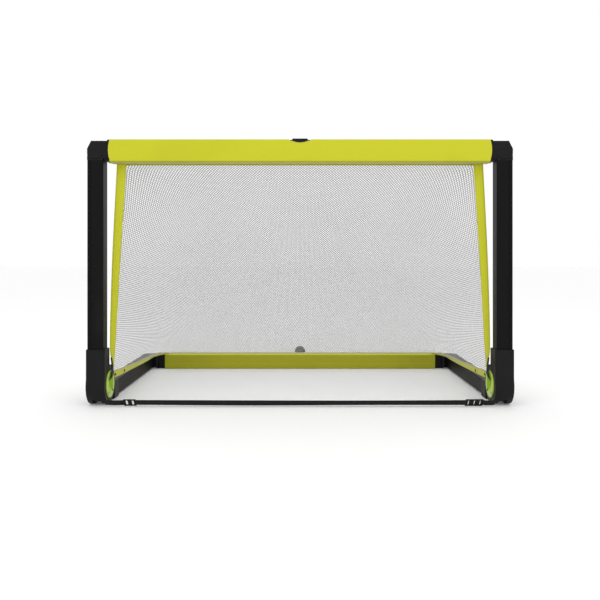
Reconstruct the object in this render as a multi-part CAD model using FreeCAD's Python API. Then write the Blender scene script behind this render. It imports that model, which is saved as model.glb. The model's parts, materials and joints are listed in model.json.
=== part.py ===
"""Pop up goal: two identical telescopic U frames, hinged together at two grip discs.

The front U stands upright: a crossbar channel, two elbow sliders, two posts. The ground U lies on
the floor: a rear beam channel, two sliders, two side bars. The side bars turn on the hubs of the
grip discs in the lower corners, about X. Every elbow lets its arm swing outward until it lines up
with its channel, and the arms then slide into the channels, whose inner sides are open.

Millimetres, +Z up, +Y to the rear, +X to the right as a shooter sees the goal. The origin is under
the middle of the goal, on the ground. Everything is drawn for the front U, on the right-hand side.
The left side is its mirror image, and the ground U is the front U turned over the disc axis.
"""
import FreeCAD, Part
import math
import os

V = FreeCAD.Vector

# Overall size, to the outsides of the corner housings and the top of the sleeve
GOAL_WIDTH = 1200.0
GOAL_HEIGHT = 750.0

# Arms: the posts and the side bars are the same tube
ARM_X = 45.0
ARM_W = 46.0
ARM_WALL = 2.5
GROOVE_FROM_EDGE = 9.5
GROOVE_WIDTH = 2.0
GROOVE_DEPTH = 1.2
TUBE_EDGE_ROUND = 3.0

# Channels: the crossbar and the rear beam are the same channel, open on the inner side
CHANNEL_END_SETBACK = 34.5
CHANNEL_WALL = 1.8
ARM_SIDE_CLEARANCE = 0.8
ROOF_CLEARANCE = 0.8
SKIRT_DEPTH = 27.0
SLEEVE_WALL = 1.9
SLEEVE_EDGE_ROUND = 3.9
SLEEVE_END_SETBACK = 7.0
REAR_COVER_SETBACK = 34.0
SLEEVE_DEPTH = 33.0
COLLAR_LENGTH = 6.0
COLLAR_PROUD = 1.0

# Gap between the sleeves when the two frames lie face to face
FRAME_GAP = 1.0

# Elbow sliders
SLIDER_REACH = 78.0
SLIDER_SIDE_GAP = 0.6
SLIDER_ROOF_GAP = 0.5
SLIDER_DROP = 26.0
RIB_HEIGHT = 6.0
RIB_DEPTH = 1.1
RIB_GAP = 0.3
RIB_START = 12.0
ELBOW_CHAMFER_X = 11.0
ELBOW_CHAMFER_U = 22.0
CHEEK_PROUD = 5.0
LOBE_RADIUS = 9.0
ELBOW_PIN_RADIUS = 6.0
RUNNING_CLEARANCE = 0.05
FORK_SLOT = 20.8
FRONT_TONGUE = 20.0
REAR_TONGUE = 16.0
NECK_GAP = 1.0
SHOULDER_INSET = 0.5
LOBE_INSET = 2.4
LOBE_GAP = 1.5
CAP_THICKNESS = 3.0
PLUG_LENGTH = 38.0
PLUG_GAP = 0.2
PLUG_GROOVE_GAP = 1.0
TONGUE_GAP = 0.2
NECK_INSET = 2.0

# Lower corners
HOUSING_OUTER_WALL = 3.0
HOUSING_INNER_WALL = 5.0
HOUSING_TOP = 160.0
HOUSING_BACK_GAP = 2.0
INNER_CHEEK = 15.0
OUTER_CHEEK = 14.0
RING_SIDE_GAP = 0.5
RING_RADIUS = 50.0
RING_GAP = 1.5
HUB_RADIUS = 35.0
HUB_SEAT_GAP = 0.3
CORNER_ROUND = 24.0
TUBE_SOCKET_DEPTH = 42.0
KNUCKLE_GAP = 1.5
KNUCKLE_SIDE_GAP = 0.5
HOUSING_EDGE_ROUND = 4.0
REAR_WINDOW_DEPTH = 6.0
REAR_WINDOW_TOP = 60.0
LOWER_WINDOW_TOP = 40.0

# Grip discs
DISC_RADIUS = 39.0
DISC_FLANGE = 3.5
FLANGE_ROUND = 1.5
SCREW_SQUARE = 22.0
SCREW_RADIUS = 1.5
SCREW_HEAD_RADIUS = 3.2
SCREW_HEAD_HEIGHT = 2.0
SCREW_BITE = 8.0
RECESS_DEPTH = 1.0
RECESS_HALF = 2.0
RECESS_SLOT_HALF = 0.5
GRIP_SLOT_LOW = 7.5
GRIP_SLOT_HIGH = 29.5
GRIP_SLOT_HALF = 16.5
GRIP_SLOT_WIDE_HALF = 27.0
GRIP_SLOT_WIDE_HIGH = 17.0
GRIP_SLOT_ROUND = 3.0
SCOOP_RADIUS = 46.0
SCOOP_DEPTH = 12.0

# Release buttons
BEZEL_HALF_LENGTH = 22.0
BEZEL_HEIGHT = 4.0
BEZEL_LIP = 8.0
BEZEL_THICKNESS = 1.5
BEZEL_GAP = 0.3
BEZEL_EDGE_ROUND = 3.5
SLEEVE_DISH_HALF = 31.0
SLEEVE_DISH_DEPTH = 9.0
BUTTON_LENGTH = 30.0
BUTTON_WIDTH = 14.0
BUTTON_GAP = 0.4
BUTTON_TRAVEL = 2.5
BUTTON_PROUD = 1.0
STEM_RADIUS = 3.0
STEM_LENGTH = 9.0
STOP_HALF = 6.0
SPRING_RADIUS = 2.8
SPRING_WIRE = 0.4
SPRING_LENGTH = 12.0
SPRING_TURNS = 6
WELL_RADIUS = 3.5
DOME_RADIUS = 20.0
DOME_RISE = 21.0
DOME_THICKNESS = 9.0
DOME_BASE = 3.5
DOME_PAD_INSET_X = 4.0
DOME_PAD_INSET_Z = 1.0
DOME_RIB_PITCH = 5.0
DOME_RIB_HALF = 0.8
DOME_RIBS_EACH_SIDE = 3

# Net, bands and straps
NET_THICKNESS = 1.2
NET_TOP_SETBACK = 35.0
NET_BOTTOM_SETBACK = 40.0
NET_TOP_INSET = 10.0
FLAP_THICKNESS = 1.5
SOFT_GAP = 1.0
BAND_TOP_SETBACK = 38.0
BAND_WIDTH = 28.0
BAND_THICKNESS = 1.6
BAND_FOOT_HEIGHT = 112.0
BAND_LEAN = 6.0
BAR_BAND_LOW = 30.0
BAR_BAND_FRONT_TOP = 78.0
BAR_BAND_REAR_TOP = 58.0
BAR_BAND_GAP = 7.5
BAR_BAND_END_SETBACK = 107.5
RIVET_RADIUS = 3.5
RIVET_HEAD = 1.5
RIVET_STEPS = (18.0, 110.0)
STRAP_WIDTH = 20.0
STRAP_THICKNESS = 2.0
STRAP_TILT = 40.0
STRAP_HEIGHT = 11.0
STRAP_END_GAP = 0.5
STRAP_EDGE_GAP = 0.5
HOOK_FROM_CORNER = 52.0
BUCKLE_FROM_CORNER = 82.0
BUCKLE_LENGTH = 49.0
HOOK_LENGTH = 34.0
FITTING_THICKNESS = 3.5
BUCKLE_RIM = 2.5
HOOK_RIM = 2.0
BUCKLE_WINDOW = 3.0
HOOK_WINDOW = 6.0
TAB_HEIGHT = 62.0
TAB_WIDTH = 20.0
TAB_THICKNESS = 2.0
TAB_START = 4.0

# Further than any corner piece reaches, for cutting right through
BEYOND = 80.0

# What follows from those
CHANNEL_IN = ARM_W / 2 + ARM_SIDE_CLEARANCE
CHANNEL_OUT = CHANNEL_IN + CHANNEL_WALL
SLEEVE_OUT = CHANNEL_OUT + SLEEVE_WALL
PLANE_OFFSET = SLEEVE_OUT + FRAME_GAP / 2
HOUSING_RADIUS = PLANE_OFFSET + SLEEVE_OUT
DISC_Z = HOUSING_RADIUS
ROOF_IN = ARM_X / 2 + ROOF_CLEARANCE
ROOF_OUT = ROOF_IN + CHANNEL_WALL
SLEEVE_TOP = ROOF_OUT + SLEEVE_WALL
PIVOT_Z = GOAL_HEIGHT - SLEEVE_TOP
ARM_LENGTH = PIVOT_Z - DISC_Z
DOME_FROM_PIVOT = ROOF_OUT + BEZEL_HEIGHT + BUTTON_PROUD + DOME_BASE
GOAL_DEPTH = HOUSING_RADIUS + ARM_LENGTH + DOME_FROM_PIVOT + DOME_THICKNESS
DISC_Y = HOUSING_RADIUS - GOAL_DEPTH / 2
FRONT_Y = DISC_Y - PLANE_OFFSET
ARM_CENTRE_X = GOAL_WIDTH / 2 - HOUSING_OUTER_WALL - ARM_X / 2
CHANNEL_HALF_LENGTH = ARM_CENTRE_X - CHANNEL_END_SETBACK
SLEEVE_HALF_LENGTH = CHANNEL_HALF_LENGTH - SLEEVE_END_SETBACK
REAR_COVER_HALF_LENGTH = CHANNEL_HALF_LENGTH - REAR_COVER_SETBACK
NET_HALF_TOP = CHANNEL_HALF_LENGTH - NET_TOP_SETBACK
NET_HALF_BOTTOM = CHANNEL_HALF_LENGTH - NET_BOTTOM_SETBACK
BAND_TOP_X = CHANNEL_HALF_LENGTH - BAND_TOP_SETBACK
CHEEK_RADIUS = ARM_X / 2 + CHEEK_PROUD
SLIDER_HALF = CHANNEL_IN - SLIDER_SIDE_GAP
SLIDER_ROOF = ROOF_IN - SLIDER_ROOF_GAP
TONGUE_RADIUS = ARM_X / 2 - TONGUE_GAP
ARM_START = CHEEK_RADIUS + NECK_GAP
HOUSING_IN = GOAL_WIDTH / 2 - HOUSING_OUTER_WALL - ARM_X - HOUSING_INNER_WALL
HOOK_X = HOOK_FROM_CORNER - HOUSING_IN
BUCKLE_X = HOUSING_IN - BUCKLE_FROM_CORNER
BAR_BAND_START = HOUSING_TOP - DISC_Z + BAR_BAND_GAP
BAR_BAND_END = ARM_LENGTH - BAR_BAND_END_SETBACK
RING_LOW_X = HOUSING_IN + INNER_CHEEK
RING_HIGH_X = GOAL_WIDTH / 2 - OUTER_CHEEK
SOCKET_FLOOR_Z = HOUSING_TOP - TUBE_SOCKET_DEPTH
KNUCKLE_START = HOUSING_RADIUS + KNUCKLE_GAP


def box(x0, x1, y0, y1, z0, z1):
    """A block between two corners."""
    return Part.makeBox(x1 - x0, y1 - y0, z1 - z0, V(x0, y0, z0))


def rod_x(radius, x0, x1, y, z):
    """A round bar along X."""
    return Part.makeCylinder(radius, x1 - x0, V(x0, y, z), V(1, 0, 0))


def rod_y(radius, y0, y1, x, z):
    """A round bar along Y."""
    return Part.makeCylinder(radius, y1 - y0, V(x, y0, z), V(0, 1, 0))


def rod_z(radius, z0, z1, x, y):
    """A round bar along Z."""
    return Part.makeCylinder(radius, z1 - z0, V(x, y, z0), V(0, 0, 1))


def plate(corners, along):
    """A flat outline swept along a vector."""
    wire = Part.makePolygon([V(*c) for c in corners] + [V(*corners[0])])
    return Part.Face(wire).extrude(V(*along))


def stadium(length, width, z0, z1, y):
    """An upright slot-shaped block, centred on x = 0, with round ends."""
    radius = width / 2
    middle = box(radius - length / 2, length / 2 - radius, y - radius, y + radius, z0, z1)
    ends = [rod_z(radius, z0, z1, side * (length / 2 - radius), y) for side in (-1, 1)]
    return middle.fuse(ends).removeSplitter()


def rounded(shape, radius, chosen):
    """The shape with the edges that the test picks filleted."""
    edges = [edge for edge in shape.Edges if chosen(edge.BoundBox)]
    return shape.makeFillet(radius, edges)


def along_z(bounds):
    """Whether an edge runs straight up."""
    return bounds.XLength < 0.01 and bounds.YLength < 0.01 and bounds.ZLength > 1


def along_x(bounds):
    """Whether an edge runs straight across."""
    return bounds.ZLength < 0.01 and bounds.YLength < 0.01 and bounds.XLength > 1


def left(shape):
    """The mirror image on the left-hand side."""
    return shape.mirror(V(0, 0, 0), V(1, 0, 0))


def to_ground(shape):
    """The same piece in the ground U: Y and Z change places about the disc axis."""
    return shape.mirror(V(0, DISC_Y, DISC_Z), V(0, 1, -1))


def write(name, shape):
    """Store one node."""
    shape.exportStep("parts/" + name + ".step")


def write_pair(name, shape):
    """Store a right-hand piece and its mirror image."""
    write(name + "_right", shape)
    write(name + "_left", left(shape))


def channel():
    """The U-section bar, open below, with a groove in each wall for the sliders' ribs."""
    outer = box(-CHANNEL_HALF_LENGTH, CHANNEL_HALF_LENGTH, FRONT_Y - CHANNEL_OUT, FRONT_Y + CHANNEL_OUT,
                PIVOT_Z - SKIRT_DEPTH, PIVOT_Z + ROOF_OUT)
    outer = rounded(outer, CHANNEL_WALL, lambda b: along_x(b) and b.ZMin > PIVOT_Z)
    hollow = box(-CHANNEL_HALF_LENGTH - 1, CHANNEL_HALF_LENGTH + 1, FRONT_Y - CHANNEL_IN,
                 FRONT_Y + CHANNEL_IN, PIVOT_Z - SKIRT_DEPTH - 1, PIVOT_Z + ROOF_IN)
    depth = SLIDER_HALF + RIB_DEPTH + RIB_GAP
    groove = box(-CHANNEL_HALF_LENGTH - 1, CHANNEL_HALF_LENGTH + 1, FRONT_Y - depth, FRONT_Y + depth,
                 PIVOT_Z - RIB_HEIGHT / 2 - RIB_GAP, PIVOT_Z + RIB_HEIGHT / 2 + RIB_GAP)
    stem_hole = rod_z(WELL_RADIUS, PIVOT_Z, PIVOT_Z + ROOF_OUT + 1, 0, FRONT_Y)
    return outer.cut([hollow, groove, stem_hole])


def sleeve(half_length):
    """The fabric cover round the channel, dished in the middle for the release button."""
    outer = box(-half_length, half_length, FRONT_Y - SLEEVE_OUT, FRONT_Y + SLEEVE_OUT,
                PIVOT_Z - SLEEVE_DEPTH, PIVOT_Z + SLEEVE_TOP)
    outer = rounded(outer, SLEEVE_EDGE_ROUND, lambda b: along_x(b) and b.ZMin > PIVOT_Z)
    inner = box(-half_length - 1, half_length + 1, FRONT_Y - CHANNEL_OUT, FRONT_Y + CHANNEL_OUT,
                PIVOT_Z - SLEEVE_DEPTH - 1, PIVOT_Z + ROOF_OUT)
    dish_radius = (SLEEVE_DISH_HALF ** 2 + SLEEVE_DISH_DEPTH ** 2) / (2 * SLEEVE_DISH_DEPTH)
    dish = rod_y(dish_radius, FRONT_Y - SLEEVE_OUT - 1, FRONT_Y + SLEEVE_OUT + 1, 0,
                 PIVOT_Z + SLEEVE_TOP - SLEEVE_DISH_DEPTH + dish_radius)
    seat = box(-BEZEL_HALF_LENGTH - BEZEL_GAP, BEZEL_HALF_LENGTH + BEZEL_GAP, FRONT_Y - SLEEVE_OUT - 1,
               FRONT_Y + SLEEVE_OUT + 1, PIVOT_Z + ROOF_OUT - BEZEL_LIP - BEZEL_GAP, PIVOT_Z + SLEEVE_TOP + 1)
    return outer.cut([inner, dish, seat])


def collar():
    """The moulded rim on the right-hand end of a channel."""
    x0 = CHANNEL_HALF_LENGTH - COLLAR_LENGTH
    rim = box(x0, CHANNEL_HALF_LENGTH, FRONT_Y - CHANNEL_OUT - COLLAR_PROUD,
              FRONT_Y + CHANNEL_OUT + COLLAR_PROUD, PIVOT_Z - SKIRT_DEPTH, PIVOT_Z + ROOF_OUT + COLLAR_PROUD)
    rim = rounded(rim, CHANNEL_WALL + COLLAR_PROUD, lambda b: along_x(b) and b.ZMin > PIVOT_Z)
    return rim.cut(box(x0 - 1, CHANNEL_HALF_LENGTH + 1, FRONT_Y - CHANNEL_OUT, FRONT_Y + CHANNEL_OUT,
                       PIVOT_Z - SKIRT_DEPTH - 1, PIVOT_Z + ROOF_OUT))


def centre_stop():
    """The block in the middle of a channel where both sliders end their travel."""
    block = box(-STOP_HALF, STOP_HALF, FRONT_Y - CHANNEL_IN, FRONT_Y + CHANNEL_IN,
                PIVOT_Z - SLIDER_DROP, PIVOT_Z + ROOF_IN)
    floor = PIVOT_Z + ROOF_OUT - STEM_LENGTH - SPRING_LENGTH
    return block.cut(rod_z(WELL_RADIUS, floor, PIVOT_Z + ROOF_IN + 1, 0, FRONT_Y))


def bezel():
    """The saddle over the middle of the channel that frames the release button."""
    width = CHANNEL_OUT + BEZEL_THICKNESS
    top = PIVOT_Z + ROOF_OUT + BEZEL_HEIGHT
    saddle = box(-BEZEL_HALF_LENGTH, BEZEL_HALF_LENGTH, FRONT_Y - width, FRONT_Y + width,
                 PIVOT_Z + ROOF_OUT - BEZEL_LIP, top)
    saddle = rounded(saddle, BEZEL_EDGE_ROUND, lambda b: b.ZLength < 0.01 and b.ZMin > top - 0.1)
    under = box(-BEZEL_HALF_LENGTH - 1, BEZEL_HALF_LENGTH + 1, FRONT_Y - CHANNEL_OUT,
                FRONT_Y + CHANNEL_OUT, 0, PIVOT_Z + ROOF_OUT)
    window = stadium(BUTTON_LENGTH + 2 * BUTTON_GAP, BUTTON_WIDTH + 2 * BUTTON_GAP,
                     PIVOT_Z + ROOF_OUT - 1, top + 1, FRONT_Y)
    return saddle.cut([under, window])


def button():
    """The release button: an oval cap on a round stem."""
    top = PIVOT_Z + ROOF_OUT + BEZEL_HEIGHT + BUTTON_PROUD
    foot = PIVOT_Z + ROOF_OUT + BUTTON_TRAVEL + BUTTON_GAP
    cap = stadium(BUTTON_LENGTH, BUTTON_WIDTH, foot, top, FRONT_Y)
    stem = rod_z(STEM_RADIUS, PIVOT_Z + ROOF_OUT - STEM_LENGTH, foot + 1, 0, FRONT_Y)
    return cap.fuse(stem).removeSplitter()


def dome_button():
    """The rear release button, with a ribbed dome that stands up behind the beam."""
    base = to_ground(button())
    y1 = DISC_Y + ARM_LENGTH + DOME_FROM_PIVOT
    y0 = y1 - DOME_BASE
    foot_z = DISC_Z - PLANE_OFFSET
    top_z = foot_z + SLEEVE_OUT + DOME_RISE
    pad_x = BUTTON_LENGTH / 2 - DOME_PAD_INSET_X
    pad_z = BUTTON_WIDTH / 2 - DOME_PAD_INSET_Z
    pad = box(-pad_x, pad_x, y0 - 1, y1, foot_z - pad_z, foot_z + pad_z)
    blade = box(-DOME_RADIUS, DOME_RADIUS, y1, y1 + DOME_THICKNESS, foot_z - BUTTON_WIDTH / 2,
                top_z - DOME_RADIUS)
    crown = rod_y(DOME_RADIUS, y1, y1 + DOME_THICKNESS, 0, top_z - DOME_RADIUS)
    dome = blade.fuse(crown).removeSplitter()
    grooves = [box(i * DOME_RIB_PITCH - DOME_RIB_HALF, i * DOME_RIB_PITCH + DOME_RIB_HALF, y1 - 1,
                   y1 + DOME_RIB_HALF, foot_z + SLEEVE_OUT, top_z + 1)
               for i in range(-DOME_RIBS_EACH_SIDE, DOME_RIBS_EACH_SIDE + 1)]
    return base.fuse([pad, dome.cut(grooves)]).removeSplitter()


def spring():
    """The coil spring under a release button."""
    floor = PIVOT_Z + ROOF_OUT - STEM_LENGTH - SPRING_LENGTH + SPRING_WIRE
    height = SPRING_LENGTH - 2 * SPRING_WIRE
    helix = Part.makeHelix(height / SPRING_TURNS, height, SPRING_RADIUS)
    start = Part.Wire(Part.makeCircle(SPRING_WIRE, V(SPRING_RADIUS, 0, 0), V(0, 1, 0)))
    coil = Part.Wire(helix.Edges).makePipeShell([start], True, True)
    coil.translate(V(0, FRONT_Y, floor))
    return coil


def slider():
    """A slider with the two cheeks that hold an arm's tongue, drawn for the right-hand side."""
    x, z = ARM_CENTRE_X, PIVOT_Z
    half = ARM_X / 2
    body = box(x - SLIDER_REACH, x - half, FRONT_Y - SLIDER_HALF, FRONT_Y + SLIDER_HALF,
               z - SLIDER_DROP, z + SLIDER_ROOF)
    head = box(x - half, x + half, FRONT_Y - SLIDER_HALF, FRONT_Y + SLIDER_HALF, z, z + SLIDER_ROOF)
    round_under = rod_y(CHEEK_RADIUS, FRONT_Y - SLIDER_HALF, FRONT_Y + SLIDER_HALF, x, z)
    under = box(x - half - 1, x + half, FRONT_Y - SLIDER_HALF - 1, FRONT_Y + SLIDER_HALF + 1, z - BEYOND, z)
    corner = plate([(x + half - ELBOW_CHAMFER_X, FRONT_Y - BEYOND, z + SLIDER_ROOF),
                    (x + half + 1, FRONT_Y - BEYOND, z + SLIDER_ROOF),
                    (x + half + 1, FRONT_Y - BEYOND, z + SLIDER_ROOF - ELBOW_CHAMFER_U - 2),
                    (x + half, FRONT_Y - BEYOND, z + SLIDER_ROOF - ELBOW_CHAMFER_U)], (0, 2 * BEYOND, 0))
    lobe_half = SLIDER_HALF - LOBE_INSET
    lobe = rod_y(LOBE_RADIUS, FRONT_Y - lobe_half, FRONT_Y + lobe_half, x - half - LOBE_RADIUS - LOBE_GAP,
                 z - SLIDER_DROP)
    solid = body.fuse([head, round_under.common(under), lobe]).removeSplitter().cut(corner)
    rib_half = SLIDER_HALF + RIB_DEPTH
    ribs = box(x - SLIDER_REACH, x - half - RIB_START, FRONT_Y - rib_half, FRONT_Y + rib_half,
               z - RIB_HEIGHT / 2, z + RIB_HEIGHT / 2)
    solid = solid.fuse(ribs).removeSplitter()
    slot = box(x - half - 2, x + half + 5, FRONT_Y - FORK_SLOT / 2, FRONT_Y + FORK_SLOT / 2,
               z - BEYOND, z + BEYOND)
    bore = rod_y(ELBOW_PIN_RADIUS, FRONT_Y - BEYOND, FRONT_Y + BEYOND, x, z)
    return solid.cut([slot, bore])


def elbow_pin():
    """The pin through both cheeks of an upper elbow."""
    return rod_y(ELBOW_PIN_RADIUS, FRONT_Y - SLIDER_HALF, FRONT_Y + SLIDER_HALF, ARM_CENTRE_X, PIVOT_Z)


def stub_pins():
    """The pair of stub pins in the cheeks of a rear elbow, flush with the fork's inner faces."""
    low = rod_y(ELBOW_PIN_RADIUS, FRONT_Y - SLIDER_HALF, FRONT_Y - FORK_SLOT / 2, ARM_CENTRE_X, PIVOT_Z)
    high = rod_y(ELBOW_PIN_RADIUS, FRONT_Y + FORK_SLOT / 2, FRONT_Y + SLIDER_HALF, ARM_CENTRE_X, PIVOT_Z)
    return Part.makeCompound([low, high])


def arm_head(tongue):
    """The fitting at the top of an arm: tongue, neck, cap and the plug inside the tube."""
    x, z = ARM_CENTRE_X, PIVOT_Z
    eye = rod_y(TONGUE_RADIUS, FRONT_Y - tongue / 2, FRONT_Y + tongue / 2, x, z)
    neck = box(x - TONGUE_RADIUS + NECK_INSET, x + TONGUE_RADIUS - NECK_INSET,
               FRONT_Y - tongue / 2, FRONT_Y + tongue / 2,
               z - ARM_START - 1, z)
    cap = box(x - ARM_X / 2, x + ARM_X / 2, FRONT_Y - ARM_W / 2, FRONT_Y + ARM_W / 2,
              z - ARM_START - CAP_THICKNESS, z - ARM_START)
    inset = ARM_WALL + PLUG_GAP
    groove_room = GROOVE_FROM_EDGE + GROOVE_WIDTH + PLUG_GROOVE_GAP
    plug = box(x - ARM_X / 2 + inset, x + ARM_X / 2 - groove_room, FRONT_Y - ARM_W / 2 + inset,
               FRONT_Y + ARM_W / 2 - inset, z - ARM_START - CAP_THICKNESS - PLUG_LENGTH,
               z - ARM_START - CAP_THICKNESS)
    bore = rod_y(ELBOW_PIN_RADIUS + RUNNING_CLEARANCE, FRONT_Y - BEYOND, FRONT_Y + BEYOND, x, z)
    return eye.fuse([neck, cap, plug]).removeSplitter().cut(bore)


def shouldered(head):
    """A post's head with hollow shoulders that follow the elbow's cheeks. A side bar's head has none, as
    it leaves its fork sideways."""
    x, z = ARM_CENTRE_X, PIVOT_Z
    shoulders = box(x - ARM_X / 2 + SHOULDER_INSET, x + ARM_X / 2, FRONT_Y - ARM_W / 2, FRONT_Y + ARM_W / 2,
                    z - ARM_START, z)
    shoulders = shoulders.cut(rod_y(ARM_START, FRONT_Y - ARM_W, FRONT_Y + ARM_W, x, z))
    return head.fuse(shoulders).removeSplitter()


def arm_tube(foot_z):
    """A post or side bar: a rectangular tube with a fine groove along its outer edge, both faces."""
    top = PIVOT_Z - ARM_START - CAP_THICKNESS
    x0, x1 = ARM_CENTRE_X - ARM_X / 2, ARM_CENTRE_X + ARM_X / 2
    y0, y1 = FRONT_Y - ARM_W / 2, FRONT_Y + ARM_W / 2
    outer = rounded(box(x0, x1, y0, y1, foot_z, top), TUBE_EDGE_ROUND, along_z)
    inner = box(x0 + ARM_WALL, x1 - ARM_WALL, y0 + ARM_WALL, y1 - ARM_WALL, foot_z - 1, top + 1)
    groove_x = x1 - GROOVE_FROM_EDGE
    grooves = [box(groove_x - GROOVE_WIDTH, groove_x, y - GROOVE_DEPTH, y + GROOVE_DEPTH, foot_z - 1, top + 1)
               for y in (y0, y1)]
    return outer.cut([inner] + grooves)


def socket_pocket(z0, z1):
    """The room for an arm's tube in a socket."""
    return box(ARM_CENTRE_X - ARM_X / 2, ARM_CENTRE_X + ARM_X / 2, FRONT_Y - ARM_W / 2,
               FRONT_Y + ARM_W / 2, z0, z1)


def screw_places():
    """The centres of the four screws of a grip disc, in Y and Z."""
    return [(DISC_Y + y, DISC_Z + z) for y in (-SCREW_SQUARE, SCREW_SQUARE)
            for z in (-SCREW_SQUARE, SCREW_SQUARE)]


def screw_blank(y, z):
    """The plain outside of a disc screw, head first, towards the outside of the goal."""
    face = HOUSING_IN - DISC_FLANGE
    head = rod_x(SCREW_HEAD_RADIUS, face, face + SCREW_HEAD_HEIGHT, y, z)
    shank = rod_x(SCREW_RADIUS, face + SCREW_HEAD_HEIGHT - 0.5, RING_HIGH_X + SCREW_BITE, y, z)
    return head.fuse(shank).removeSplitter()


def disc_screw(y, z):
    """One screw with its cross recess."""
    face = HOUSING_IN - DISC_FLANGE
    slots = [box(face - 1, face + RECESS_DEPTH, y - half_y, y + half_y, z - half_z, z + half_z)
             for half_y, half_z in ((RECESS_SLOT_HALF, RECESS_HALF), (RECESS_HALF, RECESS_SLOT_HALF))]
    return screw_blank(y, z).cut(slots)


def screw_room():
    """What the four screws of one disc take out of the pieces they pass."""
    return [screw_blank(y, z) for y, z in screw_places()]


def grip_slot(x0, x1):
    """The finger slot through a lower corner, narrow above, between the upper screws."""
    narrow = box(x0, x1, DISC_Y - GRIP_SLOT_HALF, DISC_Y + GRIP_SLOT_HALF, DISC_Z + GRIP_SLOT_LOW,
                 DISC_Z + GRIP_SLOT_HIGH)
    wide = box(x0, x1, DISC_Y - GRIP_SLOT_WIDE_HALF, DISC_Y + GRIP_SLOT_WIDE_HALF,
               DISC_Z + GRIP_SLOT_LOW, DISC_Z + GRIP_SLOT_WIDE_HIGH)
    shape = narrow.fuse(wide).removeSplitter()
    return rounded(shape, GRIP_SLOT_ROUND, along_x)


def housing():
    """The lower corner of a post: two cheeks round the side bar's ring, and the post's socket."""
    x0, x1 = HOUSING_IN, GOAL_WIDTH / 2
    y0, y1 = DISC_Y - HOUSING_RADIUS, DISC_Y - HOUSING_BACK_GAP
    disc = rod_x(HOUSING_RADIUS, x0, x1, DISC_Y, DISC_Z)
    mast = box(x0, x1, y0, y1, DISC_Z, HOUSING_TOP)
    mast = rounded(mast, HOUSING_EDGE_ROUND, lambda b: along_z(b) and b.YMax < DISC_Y - 20)
    solid = disc.fuse(mast).removeSplitter()
    gap_low, gap_high = RING_LOW_X, RING_HIGH_X
    ring_room = rod_x(RING_RADIUS + RING_GAP, gap_low, gap_high, DISC_Y, DISC_Z)
    behind = box(gap_low, gap_high, y1 - REAR_WINDOW_DEPTH, DISC_Y + BEYOND, DISC_Z - BEYOND,
                 DISC_Z + REAR_WINDOW_TOP)
    below = box(gap_low, gap_high, DISC_Y - BEYOND, DISC_Y + BEYOND, DISC_Z - BEYOND,
                DISC_Z - LOWER_WINDOW_TOP)
    seat = rod_x(HUB_RADIUS + HUB_SEAT_GAP, x0 - 1, gap_low + 1, DISC_Y, DISC_Z)
    solid = solid.cut([ring_room, behind, below, seat, grip_slot(gap_high - 1, x1 + 1),
                       socket_pocket(SOCKET_FLOOR_Z, HOUSING_TOP + 1)])
    solid = solid.cut(screw_room())
    return solid.cut(corner_round())


def corner_round():
    """What a quarter ellipse takes off the outer edge of a lower corner, below the disc axis."""
    x1 = GOAL_WIDTH / 2
    steps = 12
    arc = []
    for i in range(steps + 1):
        angle = math.pi / 2 * i / steps
        arc.append(V(x1 - OUTER_CHEEK * (1 - math.sin(angle)), DISC_Y,
                     DISC_Z - HOUSING_RADIUS + CORNER_ROUND * (1 - math.cos(angle))))
    curve = Part.BSplineCurve()
    curve.interpolate(arc)
    corner_a = V(x1 + 2, DISC_Y, arc[-1].z)
    corner_b = V(x1 + 2, DISC_Y, DISC_Z - HOUSING_RADIUS - 2)
    corner_c = V(arc[0].x, DISC_Y, DISC_Z - HOUSING_RADIUS - 2)
    wire = Part.Wire([curve.toShape(), Part.makeLine(arc[-1], corner_a), Part.makeLine(corner_a, corner_b),
                      Part.makeLine(corner_b, corner_c), Part.makeLine(corner_c, arc[0])])
    ring = Part.Face(wire).revolve(V(0, DISC_Y, DISC_Z), V(1, 0, 0), 360)
    lower = box(0, x1 + 5, DISC_Y - BEYOND, DISC_Y + BEYOND, DISC_Z - BEYOND, DISC_Z)
    rear = box(0, x1 + 5, DISC_Y, DISC_Y + BEYOND, DISC_Z - 1, DISC_Z + BEYOND)
    return ring.common(lower.fuse(rear).removeSplitter())


def grip_disc():
    """The handle in a lower corner: a flange, a hub that the side bar turns on, and a finger slot."""
    flange = rod_x(DISC_RADIUS, HOUSING_IN - DISC_FLANGE, HOUSING_IN, DISC_Y, DISC_Z)
    face = [e for e in flange.Edges if abs(e.BoundBox.XMax - HOUSING_IN + DISC_FLANGE) < 0.01
            and e.BoundBox.XLength < 0.01]
    flange = flange.makeFillet(FLANGE_ROUND, face)
    hub = rod_x(HUB_RADIUS, HOUSING_IN, RING_HIGH_X, DISC_Y, DISC_Z)
    solid = flange.fuse(hub).removeSplitter()
    scoop = rod_y(SCOOP_RADIUS, DISC_Y - GRIP_SLOT_WIDE_HALF + 3, DISC_Y + GRIP_SLOT_WIDE_HALF - 3,
                  HOUSING_IN - DISC_FLANGE + SCOOP_DEPTH - SCOOP_RADIUS, DISC_Z + GRIP_SLOT_LOW + 1)
    scoop = scoop.common(box(0, GOAL_WIDTH, DISC_Y - BEYOND, DISC_Y + BEYOND,
                             DISC_Z - BEYOND, DISC_Z + GRIP_SLOT_LOW + 1))
    solid = solid.cut([scoop, grip_slot(HOUSING_IN - DISC_FLANGE - 1, RING_HIGH_X + 1)])
    return solid.cut(screw_room())


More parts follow.
